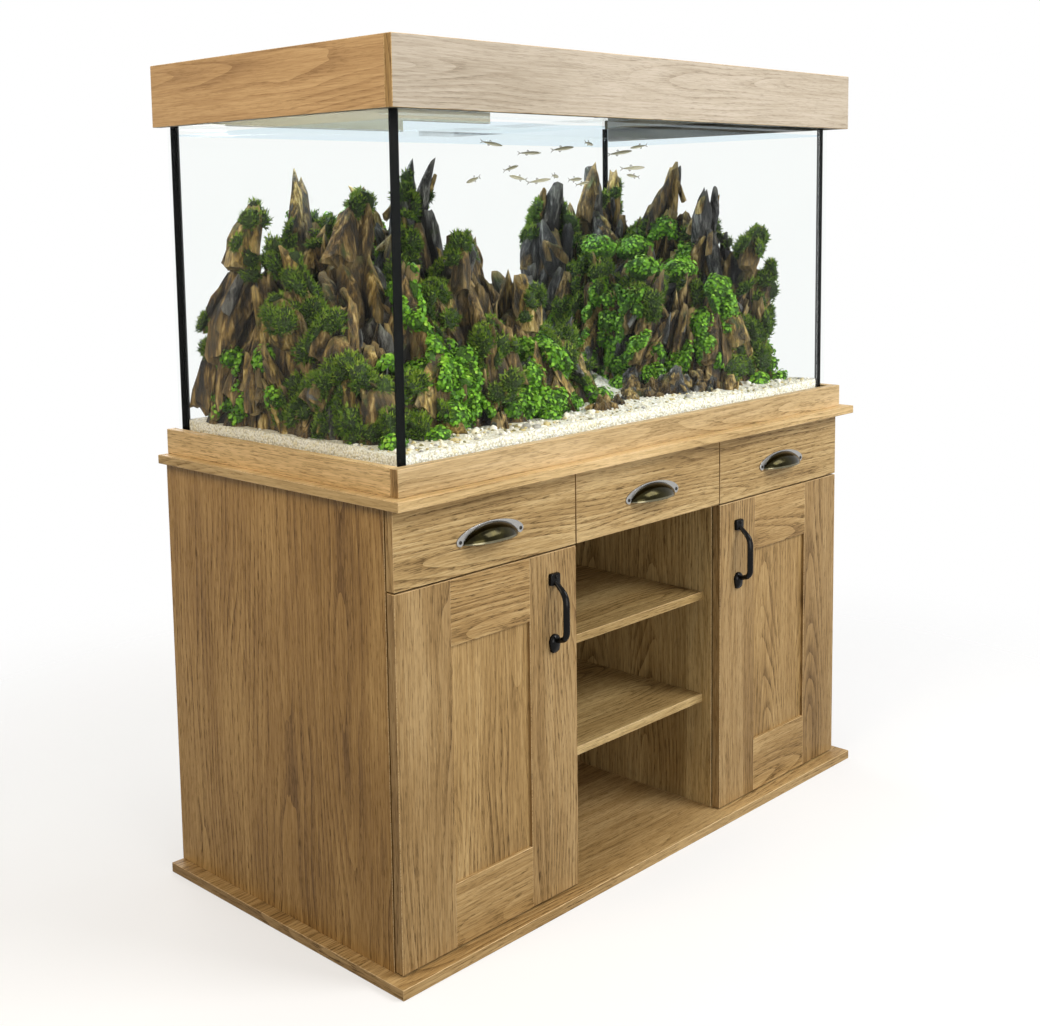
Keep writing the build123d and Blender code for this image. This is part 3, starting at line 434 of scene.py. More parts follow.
PULL_LIP = 0.694
SCREW_PLACE = 0.0705
SCREW_LEVEL = 0.0050
SCREW_RADIUS = 0.0034
SCREW_RINGS = 7
SCREW_SIDES = 24
LIP_STEPS = range(13, 23)
rings = cup_dome(half=0.0625, rise=0.0272, wall=0.0022)
dome = tube(rings, capped=False)
lip = [number % len(rings[0]) in LIP_STEPS for number in range(len(dome[1]))]
plate = tube(plate_rings(half=0.078, rise=0.030, end=0.0060, dome_half=0.0620, dome_rise=0.0268))
pull_lots = [(dome, [3 * int(bead) for bead in lip], True), (plate, [1] * len(plate[1]), False)]
for end in (-SCREW_PLACE, SCREW_PLACE):
    head = []
    for ring in range(SCREW_RINGS):
        for angle in circle(SCREW_SIDES):
            reach = SCREW_RADIUS * (1.0 - ring / 6.0) if ring < 6 else 0.0001
            x = reach * cos(angle)
            z = reach * sin(angle)
            slot = min(abs(x), abs(z)) < 0.0005 and reach < 0.0026
            lift = 0.0025 + 0.0014 * sqrt(max(0.0, 1.0 - (reach / 0.0035) ** 2))
            head.append((end + x, -(0.0024 if ring == 0 else lift - 0.0009 * slot), SCREW_LEVEL + z))
    dish = sweep([range(SCREW_SIDES)] * SCREW_RINGS, True)
    dish.append(tuple(range(len(head) - SCREW_SIDES, len(head))))
    pull_lots.append(((head, dish), [2] * len(dish), False))
for side in drawers:
    low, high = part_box(side + "_drawer_front")
    origin = ((low[0] + high[0]) / 2.0, low[1], PULL_LIP)
    pull = welded(side + "_pull", origin, pull_lots, (bronze, nickel, screw_dark, lip_painted_highlight))
    belongs(pull, side + "_drawer", "aged_bronze", side + "_cup_pull")


# Doors
# Framed doors: stiles with upright grain run the full height, rails with level grain meet them at square
# joints, and a flat panel is loose in their grooves. Bow handles of forged iron are bolted on.
STILE = 0.120
stile_upright = oak("stile_upright", 2, *toned(OAK_TONES, (0.84, 0.83, 0.84)))
for side in ("left", "right"):
    low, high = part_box(side + "_door_frame")

    def part_of_frame(face):
        """1 for bevels, 2 for the rails, 0 for the stiles."""
        if banded(face) == 1:
            return 1
        return 2 * int(low[0] + STILE + 0.0004 < face.center.x < high[0] - STILE - 0.0004)

    dress((stile_upright, oak_edge_painted_highlight, oak_level), part_of_frame, side + "_door_frame")
    board(oak_upright, oak_upright, side + "_door_panel")

iron, place = new_material("black_iron")
hammered = place.speckle(2.0, 120.0)
soot = place.speckle(3.0, 500.0)
black = soot.mix((0.002, 0.002, 0.002), (0.006, 0.0055, 0.005))
place.surface(black, 0.08 + 0.10 * soot, hammered.bump(0.0006, 0.2), {"Specular IOR Level": 0.12})


def bend(start, corner, end, steps):
    """Points on a smooth curve from start to end that is drawn towards a corner."""
    shares = [step / steps for step in range(steps + 1)]
    return [start.lerp(corner, share).lerp(corner.lerp(end, share), share) for share in shares]


def layered(outline, levels):
    """Corners and faces of a plate: its outline drawn in by a share at each depth, closed at both ends."""
    middle = sum((Vector(corner) for corner in outline), Vector((0.0, 0.0))) / len(outline)
    rings = []
    for share, depth in levels:
        places = [middle + (Vector(corner) - middle) * share for corner in outline]
        rings.append([(place.x, -depth, place.y) for place in places])
    return tube(rings)


PLATE_HALF = 0.013
BAR_REACH = 0.030
square = []
for corner_x, corner_z, first in ((1, 1, 0), (-1, 1, 1), (-1, -1, 2), (1, -1, 3)):
    for step in range(5):
        angle = pi / 2.0 * (first + step / 4.0)
        x = corner_x * 0.009 + 0.003 * cos(angle)
        z = corner_z * 0.0075 + 0.003 * sin(angle) - 0.0105
        square.append((x, z))
stud = [(0.0035 * cos(angle), 0.0035 * sin(angle) - 0.0055) for angle in circle(16)]
spade = []
for step in range(17):
    angle = pi * step / 16.0
    spade.append((PLATE_HALF * cos(angle), -0.121 + PLATE_HALF * sin(angle)))
spade += [(-0.0122, -0.1275), (-0.0105, -0.1345), (-0.0090, -0.1385), (-0.0060, -0.1405), (0.0, -0.1412)]
spade += [(-x, z) for x, z in reversed(spade[-5:-1])]
flat_bead = ((1.0, 0.0), (1.0, 0.0052), (0.93, 0.0066), (0.80, 0.0072))
round_bead = ((1.0, 0.0), (1.0, 0.0034), (0.90, 0.0056), (0.66, 0.0076), (0.36, 0.0086))
stud_bead = ((1.0, 0.0068), (1.0, 0.0080), (0.80, 0.0092), (0.45, 0.0098))
route = [Vector((-0.003, -0.013)), Vector((-0.0085, -0.0178)), Vector((-0.014, -0.0225))]
route += bend(Vector((-0.019, -0.0270)), Vector((-BAR_REACH, -0.036)), Vector((-BAR_REACH, -0.052)), 7)
route += [Vector((-BAR_REACH, -0.052 - 0.010 * step)) for step in range(1, 5)]
route += bend(Vector((-BAR_REACH, -0.099)), Vector((-BAR_REACH, -0.1125)), Vector((-0.018, -0.1160)), 7)
route += [Vector((-0.010, -0.1185)), Vector((-0.003, -0.1205))]
rings = []
for number, point in enumerate(route):
    ahead = route[min(number + 1, len(route) - 1)] - route[max(number - 1, 0)]
    ahead.normalize()
    share = number / (len(route) - 1.0)
    thick = 0.0044 + 0.0028 * sin(pi * share) ** 0.7
    ring = []
    for angle in circle(16):
        ridge = 1.0 + 0.08 * cos(4.0 * angle)
        out = thick * 0.82 * ridge * sin(angle)
        x = thick * ridge * cos(angle)
        ring.append((x, point.x + ahead.y * out, point.y - ahead.x * out))
    rings.append(ring)
forgings = (layered(square, flat_bead), layered(stud, stud_bead), layered(spade, round_bead), tube(rings))
handle_lots = [(forging, [0] * len(forging[1]), True) for forging in forgings]
for side in ("left", "right"):
    low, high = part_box(side + "_door_handle")
    origin = ((low[0] + high[0]) / 2.0, high[1], high[2])
    handle = welded(side + "_bow_handle", origin, handle_lots, (iron,))
    handle.data.set_sharp_from_angle(angle=radians(40.0))
    belongs(handle, side + "_door", "black_iron", side + "_door_handle")


# Tank glass
# Five panes of float glass stuck edge to edge with black silicone, standing on a foam mat. Two braces are
# stuck under the rim. The panes are clear, with a faint green cast and a soft gloss.
def clear(name, tint, gloss):
    """Clear sheet: light goes straight on, and a share that grows at a glance is mirrored."""
    made, place = new_material(name)
    through = place.node("BsdfTransparent", {}, {"Color": tint})
    sheen = place.node("BsdfGlossy", {}, {"Color": (1.0, 1.0, 1.0), "Roughness": 0.03})
    glance = place.node("LayerWeight", {}, {"Blend": 0.5}, "Facing")
    share = 0.003 + gloss * glance ** 5.0
    shader = place.node("MixShader", {}, {0: share, 1: through, 2: sheen})
    place.output(shader)
    return made


pane = clear("clear_glass", (0.985, 0.992, 0.988), 0.25)
dress((pane,), None, "front_glass", "back_glass", "left_glass", "right_glass", "base_glass", "glass_braces")
silicone = figured(
    "black_silicone", (90.0, 90.0, 25.0), 3.0, ((0.002, 0.0025, 0.0025), (0.006, 0.007, 0.007)),
    (0.32, 0.25), (0.0006, 0.5), {"Specular IOR Level": 0.05}
)
dress((silicone,), None, "silicone_joints")
foam, place = new_material("grey_foam")
bubbles = place.cells(700.0)
place.surface(bubbles.mix((0.06, 0.06, 0.065), (0.16, 0.16, 0.165)), 0.85, bubbles.bump(0.0008, 0.6))
dress((foam,), None, "foam_mat")


# Gravel
# A washed bed of cream quartz gravel, raked level at the front and banked up behind, with yellow and grey
# grains and a scatter of larger pebbles lying on it.
rng = np.random.default_rng(11)
bed_low, bed_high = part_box("gravel_bed")
bed_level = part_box("ridge_rocks")[0][2]
PATH_MIDDLE = 0.182
PATH_HALF = 0.170
PATH_START = -0.03
gravel, place = new_material("pale_gravel")
grains = place.cells(250.0)
grain_chance = place.cells(250.0, "Color").axes()[0]
grain_colour = grain_chance.node("ValToRGB", {"stops": [
    (0.0, (0.56, 0.50, 0.30)), (0.08, (0.90, 0.86, 0.70)), (0.45, (0.96, 0.94, 0.86)),
    (0.78, (0.97, 0.96, 0.92)), (0.95, (0.88, 0.80, 0.56)), (1.0, (0.64, 0.60, 0.52)),
]}, {0: grain_chance})
# Gaps between the grains are darkened, painted shade; their roughness is the gravel's own.
painted_gap_shade = grains.between(0.45, 0.8)
cream = (painted_gap_shade * 0.5).mix(grain_colour, (0.34, 0.30, 0.20))
place.surface(cream, 0.55 + 0.3 * painted_gap_shade, (1.0 - grains).bump(0.004, 0.7))


def bed_height(x, y):
    """Height of the gravel at a place: low dunes in front, and a path that climbs between the rocks."""
    dune = noise.noise(Vector((x * 5.0, y * 6.0, 3.1))) * 0.007
    grit = noise.noise(Vector((x * 60.0, y * 60.0, 1.7))) * 0.0018
    aside = (x - PATH_MIDDLE) / PATH_HALF
    climb = max(0.0, (y - PATH_START) / (bed_high[1] - PATH_START))
    loose = 0.80 + 0.20 * noise.noise(Vector((x * 13.0, y * 13.0, 7.7)))
    bank = (bed_high[2] - bed_level) * climb * loose * max(0.0, 1.0 - aside ** 2) ** 2
    return bed_level + dune + grit + bank


def block_under(across, back, heights, bottom):
    """Corners and faces of a closed block: a sheet of heights by rows from front to back, sides, a bottom."""
    wide = len(across)
    deep = len(back)
    corners = [(x, y, heights[row][step]) for row, y in enumerate(back) for step, x in enumerate(across)]
    faces = sweep([across] * deep, False)
    edge = list(range(wide))
    edge += [row * wide + wide - 1 for row in range(1, deep)]
    edge += [(deep - 1) * wide + step for step in range(wide - 2, -1, -1)]
    edge += [row * wide for row in range(deep - 2, 0, -1)]
    top_count = len(corners)
    corners += [(corners[number][0], corners[number][1], bottom) for number in edge]
    for step, number in enumerate(edge):
        following = (step + 1) % len(edge)
        faces.append((number, top_count + step, top_count + following, edge[following]))
    faces.append(tuple(top_count + step for step in reversed(range(len(edge)))))
    return corners, faces


across = np.linspace(bed_low[0] + 0.0005, bed_high[0] - 0.0005, 241)
back = np.linspace(bed_low[1] + 0.0005, bed_high[1] - 0.0005, 119)
heights = [[bed_height(x, y) for x in across] for y in back]
corners, faces = block_under(across, back, heights, bed_low[2])
bed = mesh_piece("gravel", corners, faces, (gravel,))
belongs(bed, "cabinet", "pale_gravel", "gravel_bed")


def ball(level):
    """Corners and faces of a unit ball of small triangles."""
    shape = bmesh.new()
    bmesh.ops.create_icosphere(shape, subdivisions=level, radius=1.0)
    corners = np.array([vert.co[:] for vert in shape.verts])
    faces = np.array([[vert.index for vert in face.verts] for face in shape.faces])
    shape.free()
    return corners, faces


def plain(name, colour, roughness, settings):
    """A finish of one colour, for pieces smaller than a pixel's worth of figure."""
    made, place = new_material(name)
    place.surface(colour, roughness, None, settings)
    return made


pebble_tints = [
    plain("pebble_" + name, colour, 0.5, {})
    for name, colour in (
        ("cream", (0.88, 0.84, 0.70)), ("white", (0.93, 0.91, 0.86)), ("yellow", (0.60, 0.50, 0.24)),
        ("olive", (0.24, 0.22, 0.09)), ("grey", (0.36, 0.35, 0.32)),
    )
]
unit, unit_faces = ball(1)
corners = []
faces = []
picks = []
for number in range(2200):
    x = rng.uniform(bed_low[0] + 0.012, bed_high[0] - 0.012)
    y = bed_low[1] + 0.012 + rng.uniform(0.0, 1.0) ** 1.5 * 0.42
    size = rng.uniform(0.0018, 0.0038) * (1.0 + 1.1 * (rng.uniform() > 0.95))
    scale = size * rng.uniform(0.7, 1.3, 3) * (1.0, 1.0, 0.75)
    start = len(corners)
    rough = unit * scale * rng.uniform(0.8, 1.15, (len(unit), 1))
    corners += (rough + (x, y, bed_height(x, y) + size * 0.25)).tolist()
    faces += (unit_faces + start).tolist()
    picks += [int(rng.choice(5, p=(0.36, 0.3, 0.16, 0.08, 0.1)))] * len(unit_faces)
pebbles = mesh_piece("pebbles", corners, faces, pebble_tints, picks)
belongs(pebbles, "cabinet", "pale_gravel")


# Rocks
# Splintery brown stone set on end in the gravel: ridges of shards at both ends, a flat-topped terrace, and
# loose stones in front. Each heap is a core with broken, leaning shards packed round it, and splinters
# that lie along the shards.
def solids_of(node):
    """Lowest and highest corner of each separate solid in a CAD node."""
    shape = bmesh.new()
    shape.from_mesh(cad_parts[node].data)
    bmesh.ops.remove_doubles(shape, verts=shape.verts, dist=0.00001)
    left = set(shape.verts)
    found = []
    while left:
        group = [left.pop()]
        for vert in group:
            for edge in vert.link_edges:
                other = edge.other_vert(vert)
                if other in left:
                    left.remove(other)
                    group.append(other)
        points = np.array([vert.co[:] for vert in group])
        found.append((tuple(points.min(0)), tuple(points.max(0))))
    shape.free()
    return sorted(found)


def rock(name, stops):
    """Layered stone in its stops' colours, mossy facing up, with painted shade in crevices and painted
    highlights on edges.
    """
    made, place = new_material(name)
    layers = place.stretched((46.0, 46.0, 9.0)).speckle(6.0, 1.0, 0.62)
    fine = place.stretched((130.0, 130.0, 28.0)).speckle(5.0, 1.0, 0.62)
    stone = layers.node("ValToRGB", {"stops": stops}, {0: layers * 1.3 + (fine - 0.5) * 1.3 - 0.13})
    upward = place.node("NewGeometry", {}, {}, "Normal").axes()[2]
    moss_film = (place.speckle(4.0, 30.0) + upward * 0.22).between(0.62, 0.80)
    stone = (moss_film * 0.7).mix(stone, (0.055, 0.090, 0.014))
    # Crevices are darkened to near black, painted shade.
    painted_crevice_shade = place.node("AmbientOcclusion", {"only_local": True, "samples": 4}, {"Distance": 0.080}, "AO")
    stone = (0.96 - 0.96 * painted_crevice_shade.between(0.25, 0.86)).mix(stone, (0.005, 0.0035, 0.002))
    # Sharp edges are paled towards the lightest stop, a painted highlight.
    painted_edge_highlight = place.node("NewGeometry", {}, {}, "Pointiness").between(0.53, 0.64)
    stone = (painted_edge_highlight * 0.5).mix(stone, stops[-1][1])
    place.surface(stone, 0.62 + 0.25 * fine, (layers + fine * 0.7).bump(0.012, 0.9))
    return made


rocks = (
    rock("brown_stone", [
        (0.30, (0.007, 0.005, 0.002)), (0.44, (0.038, 0.023, 0.007)), (0.56, (0.112, 0.068, 0.019)),
        (0.68, (0.250, 0.160, 0.048)), (0.82, (0.54, 0.40, 0.17)),
    ]),
    rock("golden_stone", [
        (0.30, (0.012, 0.008, 0.002)), (0.44, (0.074, 0.046, 0.010)), (0.56, (0.205, 0.130, 0.026)),
        (0.68, (0.420, 0.290, 0.080)), (0.82, (0.68, 0.53, 0.24)),
    ]),
    rock("slate_stone", [
        (0.30, (0.005, 0.006, 0.007)), (0.46, (0.022, 0.023, 0.024)), (0.60, (0.080, 0.080, 0.076)),
        (0.80, (0.30, 0.30, 0.28)),
    ]),
)


TANK_SIDE = 0.596
TANK_FRONT = -0.272
TANK_BACK = 0.310


def inside_tank(middle, reach):
    """A place moved so that a piece of that reach stays within the panes."""
    x = min(max(middle[0], -TANK_SIDE + reach), TANK_SIDE - reach)
    y = min(max(middle[1], TANK_FRONT + reach), TANK_BACK - reach)
    return np.array((x, y, middle[2]))


def broken_stone(cuts):
    """Corners and faces of one stone of unit size: the hull of a few chance points, its edges cut up."""
    shape = bmesh.new()
    for level, count, radius in ((-1.0, 5, 0.85), (-0.15, 6, 0.95), (0.5, 4, 0.70), (0.95, 2, 0.42)):
        start = rng.uniform(0.0, 2.0 * pi)
        for step in range(count):
            turn = start + 2.0 * pi * (step + rng.uniform(-0.25, 0.25)) / count
            reach = radius * rng.uniform(0.7, 1.15)
            shape.verts.new((reach * cos(turn), reach * sin(turn), level + rng.uniform(-0.15, 0.15)))
    hull = bmesh.ops.convex_hull(shape, input=shape.verts)
    unused = set(hull["geom_interior"] + hull["geom_unused"])
    spare = [item for item in unused if isinstance(item, bmesh.types.BMVert)]
    bmesh.ops.delete(shape, geom=spare, context="VERTS")
    bmesh.ops.subdivide_edges(shape, edges=shape.edges, cuts=cuts, use_grid_fill=True)
    bmesh.ops.recalc_face_normals(shape, faces=shape.faces)
    shape.verts.index_update()
    corners = np.array([vert.co[:] for vert in shape.verts])
    faces = [tuple(vert.index for vert in face.verts) for face in shape.faces]
    shape.free()
    return corners, faces


stone_shapes = [broken_stone(2) for number in range(24)]
splinter_shapes = [broken_stone(1) for number in range(24)]


def leaning(lean):
    """The turn that tips a stone by a lean along x and along y."""
    return Euler((-lean[1], lean[0], 0.0)).to_matrix()


def shard(shapes, middle, half, lean):
    """Corners and faces of one stone of a heap, ridged along its layers and leaning."""
    unit, faces = shapes[rng.integers(len(shapes))]
    points = unit * half
    apart = rng.uniform(0.0, 50.0)
    for number, (x, y, z) in enumerate(points):
        ridge = noise.noise(Vector((x * 60.0 + apart, y * 60.0, z * 16.0)))
        crack = noise.noise(Vector((x * 150.0, y * 150.0 + apart, z * 50.0)))
        points[number] *= 1.0 + 0.16 * ridge + 0.12 * crack
    turn = leaning(lean) @ Euler((0.0, 0.0, rng.uniform(0.0, pi))).to_matrix()
    return points @ np.array(turn).T + middle, faces


TERRACE_HEIGHT = 0.29
TIER = 0.09
NEIGHBOUR = 0.165
CORE_STEP = 0.012
CORE_SIDE = 0.594
CORE_FRONT = -0.270
CORE_BACK = 0.308
CORE_REACH = 0.8
CORE_TALL = 0.75
STONE_LIMIT = 0.478
POINTED_HEAP = ((0.0, 0.45, 0.8, 1.0), (1.0, 0.96, 0.80, 0.40))
LEVEL_HEAP = ((0.0, 0.6, 1.0), (1.0, 0.97, 0.84))


def mounds_of(node):
    """Middle of the foot, half width and depth, height and profile of each heap, and of the fill between."""
    found = []
    for low, high in solids_of(node):
        low, high = np.array(low), np.array(high)
        tall = high[2] - low[2]
        profile = LEVEL_HEAP if node == "cliff_rocks" and tall < TERRACE_HEIGHT else POINTED_HEAP
        found.append(((low + high) / 2.0, (high - low) / 2.0, tall, profile))
    for first in list(found):
        for second in list(found):
            gap = np.linalg.norm((second[0] - first[0])[:2])
            if first[0][0] + 0.1 * first[0][1] < second[0][0] + 0.1 * second[0][1] and gap < NEIGHBOUR:
                tall = 0.84 * min(first[2], second[2])
                found.append(((first[0] + second[0]) / 2.0, 0.42 * (first[1] + second[1]), tall, first[3]))
    return found


def core_height(x, y, mounds):
    """Height above the gravel of the core of the tallest heap at a place."""
    tallest = -0.012
    for middle, half, tall, profile in mounds:
        reach = sqrt(((x - middle[0]) / half[0]) ** 2 + ((y - middle[1]) / half[1]) ** 2)
        if reach < CORE_REACH:
            share = np.interp(reach / CORE_REACH, profile[1][::-1], profile[0][::-1], 1.0, 0.0)
            tallest = max(tallest, CORE_TALL * tall * share)
    return tallest


def heap(name, node, mounds, crowd):
    """Shards packed round the cores of some mounds, crowd of them round the foot of each, with splinters."""
    feet = np.array([middle - half for middle, half, tall, profile in mounds])
    ends = np.array([middle + half for middle, half, tall, profile in mounds])
    across = np.arange(max(feet[:, 0].min(), -CORE_SIDE), min(ends[:, 0].max(), CORE_SIDE), CORE_STEP)
    back = np.arange(max(feet[:, 1].min(), CORE_FRONT), min(ends[:, 1].max(), CORE_BACK), CORE_STEP)
    heights = [[bed_level + core_height(x, y, mounds) for x in across] for y in back]
    corners, faces = block_under(across, back, heights, bed_level - 0.02)
    picks = [0] * len(faces)

    def pack(shapes, spot, size, lean, colour):
        """Add one shard, kept inside the panes and under the water."""
        points, new_faces = shard(shapes, inside_tank(spot, size[0]), size, lean)
        faces.extend(tuple(number + len(corners) for number in face) for face in new_faces)
        picks.extend([colour] * len(new_faces))
        corners.extend(tuple(inside_tank((x, y, min(z, bed_level + STONE_LIMIT)), 0.0)) for x, y, z in points)

    for middle, half, tall, profile in mounds:
        tiers = max(2, round(tall / TIER))
        sway = rng.uniform(-0.26, 0.26, 2)
        colour = rng.choice(3, p=(0.46, 0.38, 0.16))
        for tier in range(tiers):
            share = tier / (tiers - 1.0)
            reach = np.interp(share, *profile)
            count = max(2, round(crowd * reach))
            for step in range(count):
                angle = 2.0 * pi * (step + rng.uniform(0.0, 0.7)) / count + 2.1 * tier
                way = np.array((cos(angle), sin(angle), 0.0))
                size = np.array((0.50 * half[0], 0.38 * half[1], 0.0)) * rng.uniform(0.6, 1.35)
                size[2] = tall / tiers * rng.uniform(0.6, 1.0)
                spot = middle + half * way * reach * 0.84
                spot[2] = bed_level + 0.25 * size[2] + share * (tall - 1.2 * size[2])
                spot = inside_tank(spot, size[0])
                lean = sway - 0.20 * way[:2] + rng.normal(scale=0.22, size=2)
                pick = int(rng.choice(3)) if rng.uniform() < 0.3 else int(colour)
                pack(stone_shapes, spot, size, lean, pick)
                tilt = np.array(leaning(lean))
                for splinter in range(2):
                    beside = angle + rng.uniform(-0.9, 0.9)
                    way = np.array((cos(beside), sin(beside), 0.0))
                    rise = rng.uniform(-0.6, 0.6)
                    perch = way * 0.7 * min(size[:2]) * sqrt(1.0 - rise ** 2) + (0.0, 0.0, rise * size[2])
                    chip = 0.36 * size * rng.uniform(0.6, 1.3)
                    slant = lean - 0.1 * way[:2] + rng.normal(scale=0.16, size=2)
                    shade = int(rng.choice(3, p=(0.45, 0.4, 0.15)))
                    pack(splinter_shapes, spot + tilt @ perch, chip, slant, shade)
    piece = mesh_piece(name, corners, faces, rocks, picks, False)
    belongs(piece, "cabinet", "brown_stone", node)
    return corners, faces


heaps = {}
for node, names in (("ridge_rocks", ("ridge", "slope")), ("cliff_rocks", ("cliff", "end"))):
    mounds = sorted(mounds_of(node), key=lambda mound: mound[0][0])
    halfway = len(mounds) // 2
    for name, lot in zip(names, (mounds[:halfway], mounds[halfway:])):
        heaps[name] = heap(name + "_stones", node, lot, 6.0)
heap("worn_stones", "loose_stones", mounds_of("loose_stones"), 3.0)


# Moss and carpet plants
# Feathery dark moss tied to the stones, and cushions of small round-leaved carpet plants at their feet
# and on the cliff. Each cushion is a soft dense heart covered in separate leaves of several greens.
def dense_growth(name, deep, light):
    """The inside of a cushion: tangled stems showing dark between the leaves, their darkness partly painted
    shade.
    """
    made, place = new_material(name)
    tuft = place.speckle(4.0, 160.0)
    place.surface(tuft.between(0.3, 0.7).mix(deep, light), 0.85, tuft.bump(0.006, 0.8))
    return made


def leaf_tints(kind, roughness, *colours):
    """Plain finishes for the leaves of one kind of plant, from the deepest green to the palest."""
    finish = {"Specular IOR Level": 0.25}
    names = [kind + "_" + str(number) for number in range(len(colours))]
    return [plain(name, colour, roughness, finish) for name, colour in zip(names, colours)]


moss = {
    "heart": dense_growth("moss_heart", (0.006, 0.013, 0.003), (0.034, 0.070, 0.008)),
    "tints": leaf_tints(
        "moss", 0.6, (0.026, 0.066, 0.006), (0.065, 0.140, 0.012), (0.130, 0.240, 0.020),
        (0.230, 0.360, 0.034), (0.340, 0.420, 0.060),
    ),
    "leaf_length": 0.0080, "leaf_width": 0.0030, "leaf_corners": 3, "density": 62000.0,
}
carpet = {
    "heart": dense_growth("carpet_heart", (0.014, 0.040, 0.004), (0.070, 0.180, 0.014)),
    "tints": leaf_tints(
        "carpet", 0.5, (0.040, 0.125, 0.008), (0.085, 0.240, 0.012), (0.150, 0.370, 0.018),
        (0.250, 0.540, 0.035), (0.360, 0.610, 0.070),
    ),
    "leaf_length": 0.0035, "leaf_width": 0.0066, "leaf_corners": 6, "density": 36000.0,
}


def unit_rows(rows):
    """Directions, each brought to unit length."""
    return rows / np.linalg.norm(rows, axis=1)[:, None]


def cushions(name, spots, *nodes, heart, tints, leaf_length, leaf_width, leaf_corners, density):
    """Hearts and leaves for a list of cushions, each a middle, an outward direction and three radii."""
    unit, unit_faces = ball(2)
    corners = []
    faces = []
    blades = []
    picks = []
    for number, (middle, outward, radii) in enumerate(spots):
        turn = np.array(Vector(outward).to_track_quat("Z", "Y").to_matrix()).T
        apart = Vector((number * 3.7, 0.0, 0.0))

        def skin(ways):
            """Places on the uneven skin of the cushion, in some directions from its middle."""
            swell = [0.86 + 0.32 * noise.noise(Vector(way * 1.9) + apart) for way in ways]
            return middle + (ways * radii * np.array(swell)[:, None]) @ turn

        faces += (unit_faces + len(corners)).tolist()
        corners += skin(unit).tolist()
        flat = radii[0] * radii[1]
        steep = radii[0] * radii[2]
        area = 4.0 * pi * ((flat ** 1.6 + 2.0 * steep ** 1.6) / 3.0) ** 0.625
        ways = unit_rows(rng.normal(size=(int(area * density), 3)))
        ways = ways[ways[:, 2] > -0.3]
        feet = skin(ways)
        facing = ways @ turn
        growth = unit_rows(facing + rng.normal(scale=0.4, size=ways.shape) + (0.0, 0.0, 0.4))
        sideways = unit_rows(np.cross(growth, rng.normal(size=ways.shape)))
        face_way = np.cross(growth, sideways)
        sizes = rng.uniform(0.6, 1.25, (len(ways), 1))
        crowns = feet + growth * leaf_length * sizes
        if leaf_corners == 3:
            breadth = sideways * leaf_width * sizes / 2.0
            edge = [feet - breadth, feet + breadth, crowns]
        else:
            edge = []
            for angle in circle(leaf_corners):
                spread = sideways * cos(angle) + face_way * sin(angle) * 0.85
                edge.append(crowns + spread * leaf_width * sizes / 2.0)
        blades.append(np.stack(edge, 1).reshape(-1, 3))
        # Leaves facing up take paler tints and those facing down deeper ones, painted light from above, with
        # random tone mixed in.
        shade = facing[:, 2] * 0.9 + rng.normal(scale=0.8, size=len(ways)) + 1.8
        picks.append(np.clip(np.round(shade), 0, len(tints) - 1))
    hearts = mesh_piece(name + "_hearts", corners, faces, (heart,))
    belongs(hearts, "cabinet", "green_plants", *nodes)
    blades = np.concatenate(blades)
    blade_faces = np.arange(len(blades)).reshape(-1, leaf_corners).tolist()
    leaves = mesh_piece(name + "_leaves", blades.tolist(), blade_faces, tints, np.concatenate(picks), False)
    belongs(leaves, "cabinet", "green_plants")


def on_stone(heap_mesh, wanted):
    """Places on a heap that are open to the light, each with its outward direction and a reach."""
    corners, faces = heap_mesh
    tree = BVHTree.FromPolygons(corners, faces)
    found = []
    while len(found) < wanted:
        edge = [Vector(corners[number]) for number in faces[rng.integers(len(faces))][:4]]
        middle = sum(edge, Vector()) / len(edge)
        outward = (edge[1] - edge[0]).cross(edge[2] - edge[0]).normalized()
        lean = (outward + Vector((0.0, 0.0, 0.6))).normalized()
        patch = noise.noise(Vector((middle.x * 8.0, middle.y * 8.0, middle.z * 6.0))) + 0.3 * outward.z
        buried = middle.z < bed_level + 0.006 or outward.z < -0.3
        summit = middle.z > bed_level + rng.uniform(0.20, 0.50)
        if buried or summit or patch < -0.02 or tree.ray_cast(middle + outward * 0.002, lean, 0.04)[0]:
            continue
        reach = rng.uniform(0.009, 0.022)
        found.append((inside_tank(middle, reach * 1.2), np.array(outward), reach))
    return found


for heap_name, wanted in (("ridge", 700), ("slope", 620), ("cliff", 420), ("end", 420)):
    moss_spots = []
    carpet_spots = []
    for place, outward, reach in on_stone(heaps[heap_name], wanted):
        spread = np.array((1.25, 1.25, rng.uniform(0.35, 0.6))) * reach
        patch = noise.noise(Vector((place[0] * 6.5, place[1] * 6.5, place[2] * 4.0)))
        bright = patch > 0.08 + 1.2 * (place[2] - 1.02)
        (carpet_spots if bright else moss_spots).append((place, outward, spread))
    cushions(heap_name + "_moss", moss_spots, **moss)
    cushions(heap_name + "_carpet", carpet_spots, **carpet)
ground_spots = []
for low, high in solids_of("plant_mounds"):
    low, high = np.array(low), np.array(high)
    middle = (low + high) / 2.0
    middle[2] = low[2]
    spread = (high - low) * (0.5, 0.5, 1.0)
    ground_spots.append((middle, np.array((0.0, 0.0, 1.0)), spread))
cushions("ground_carpet", ground_spots, "plant_mounds", **carpet)


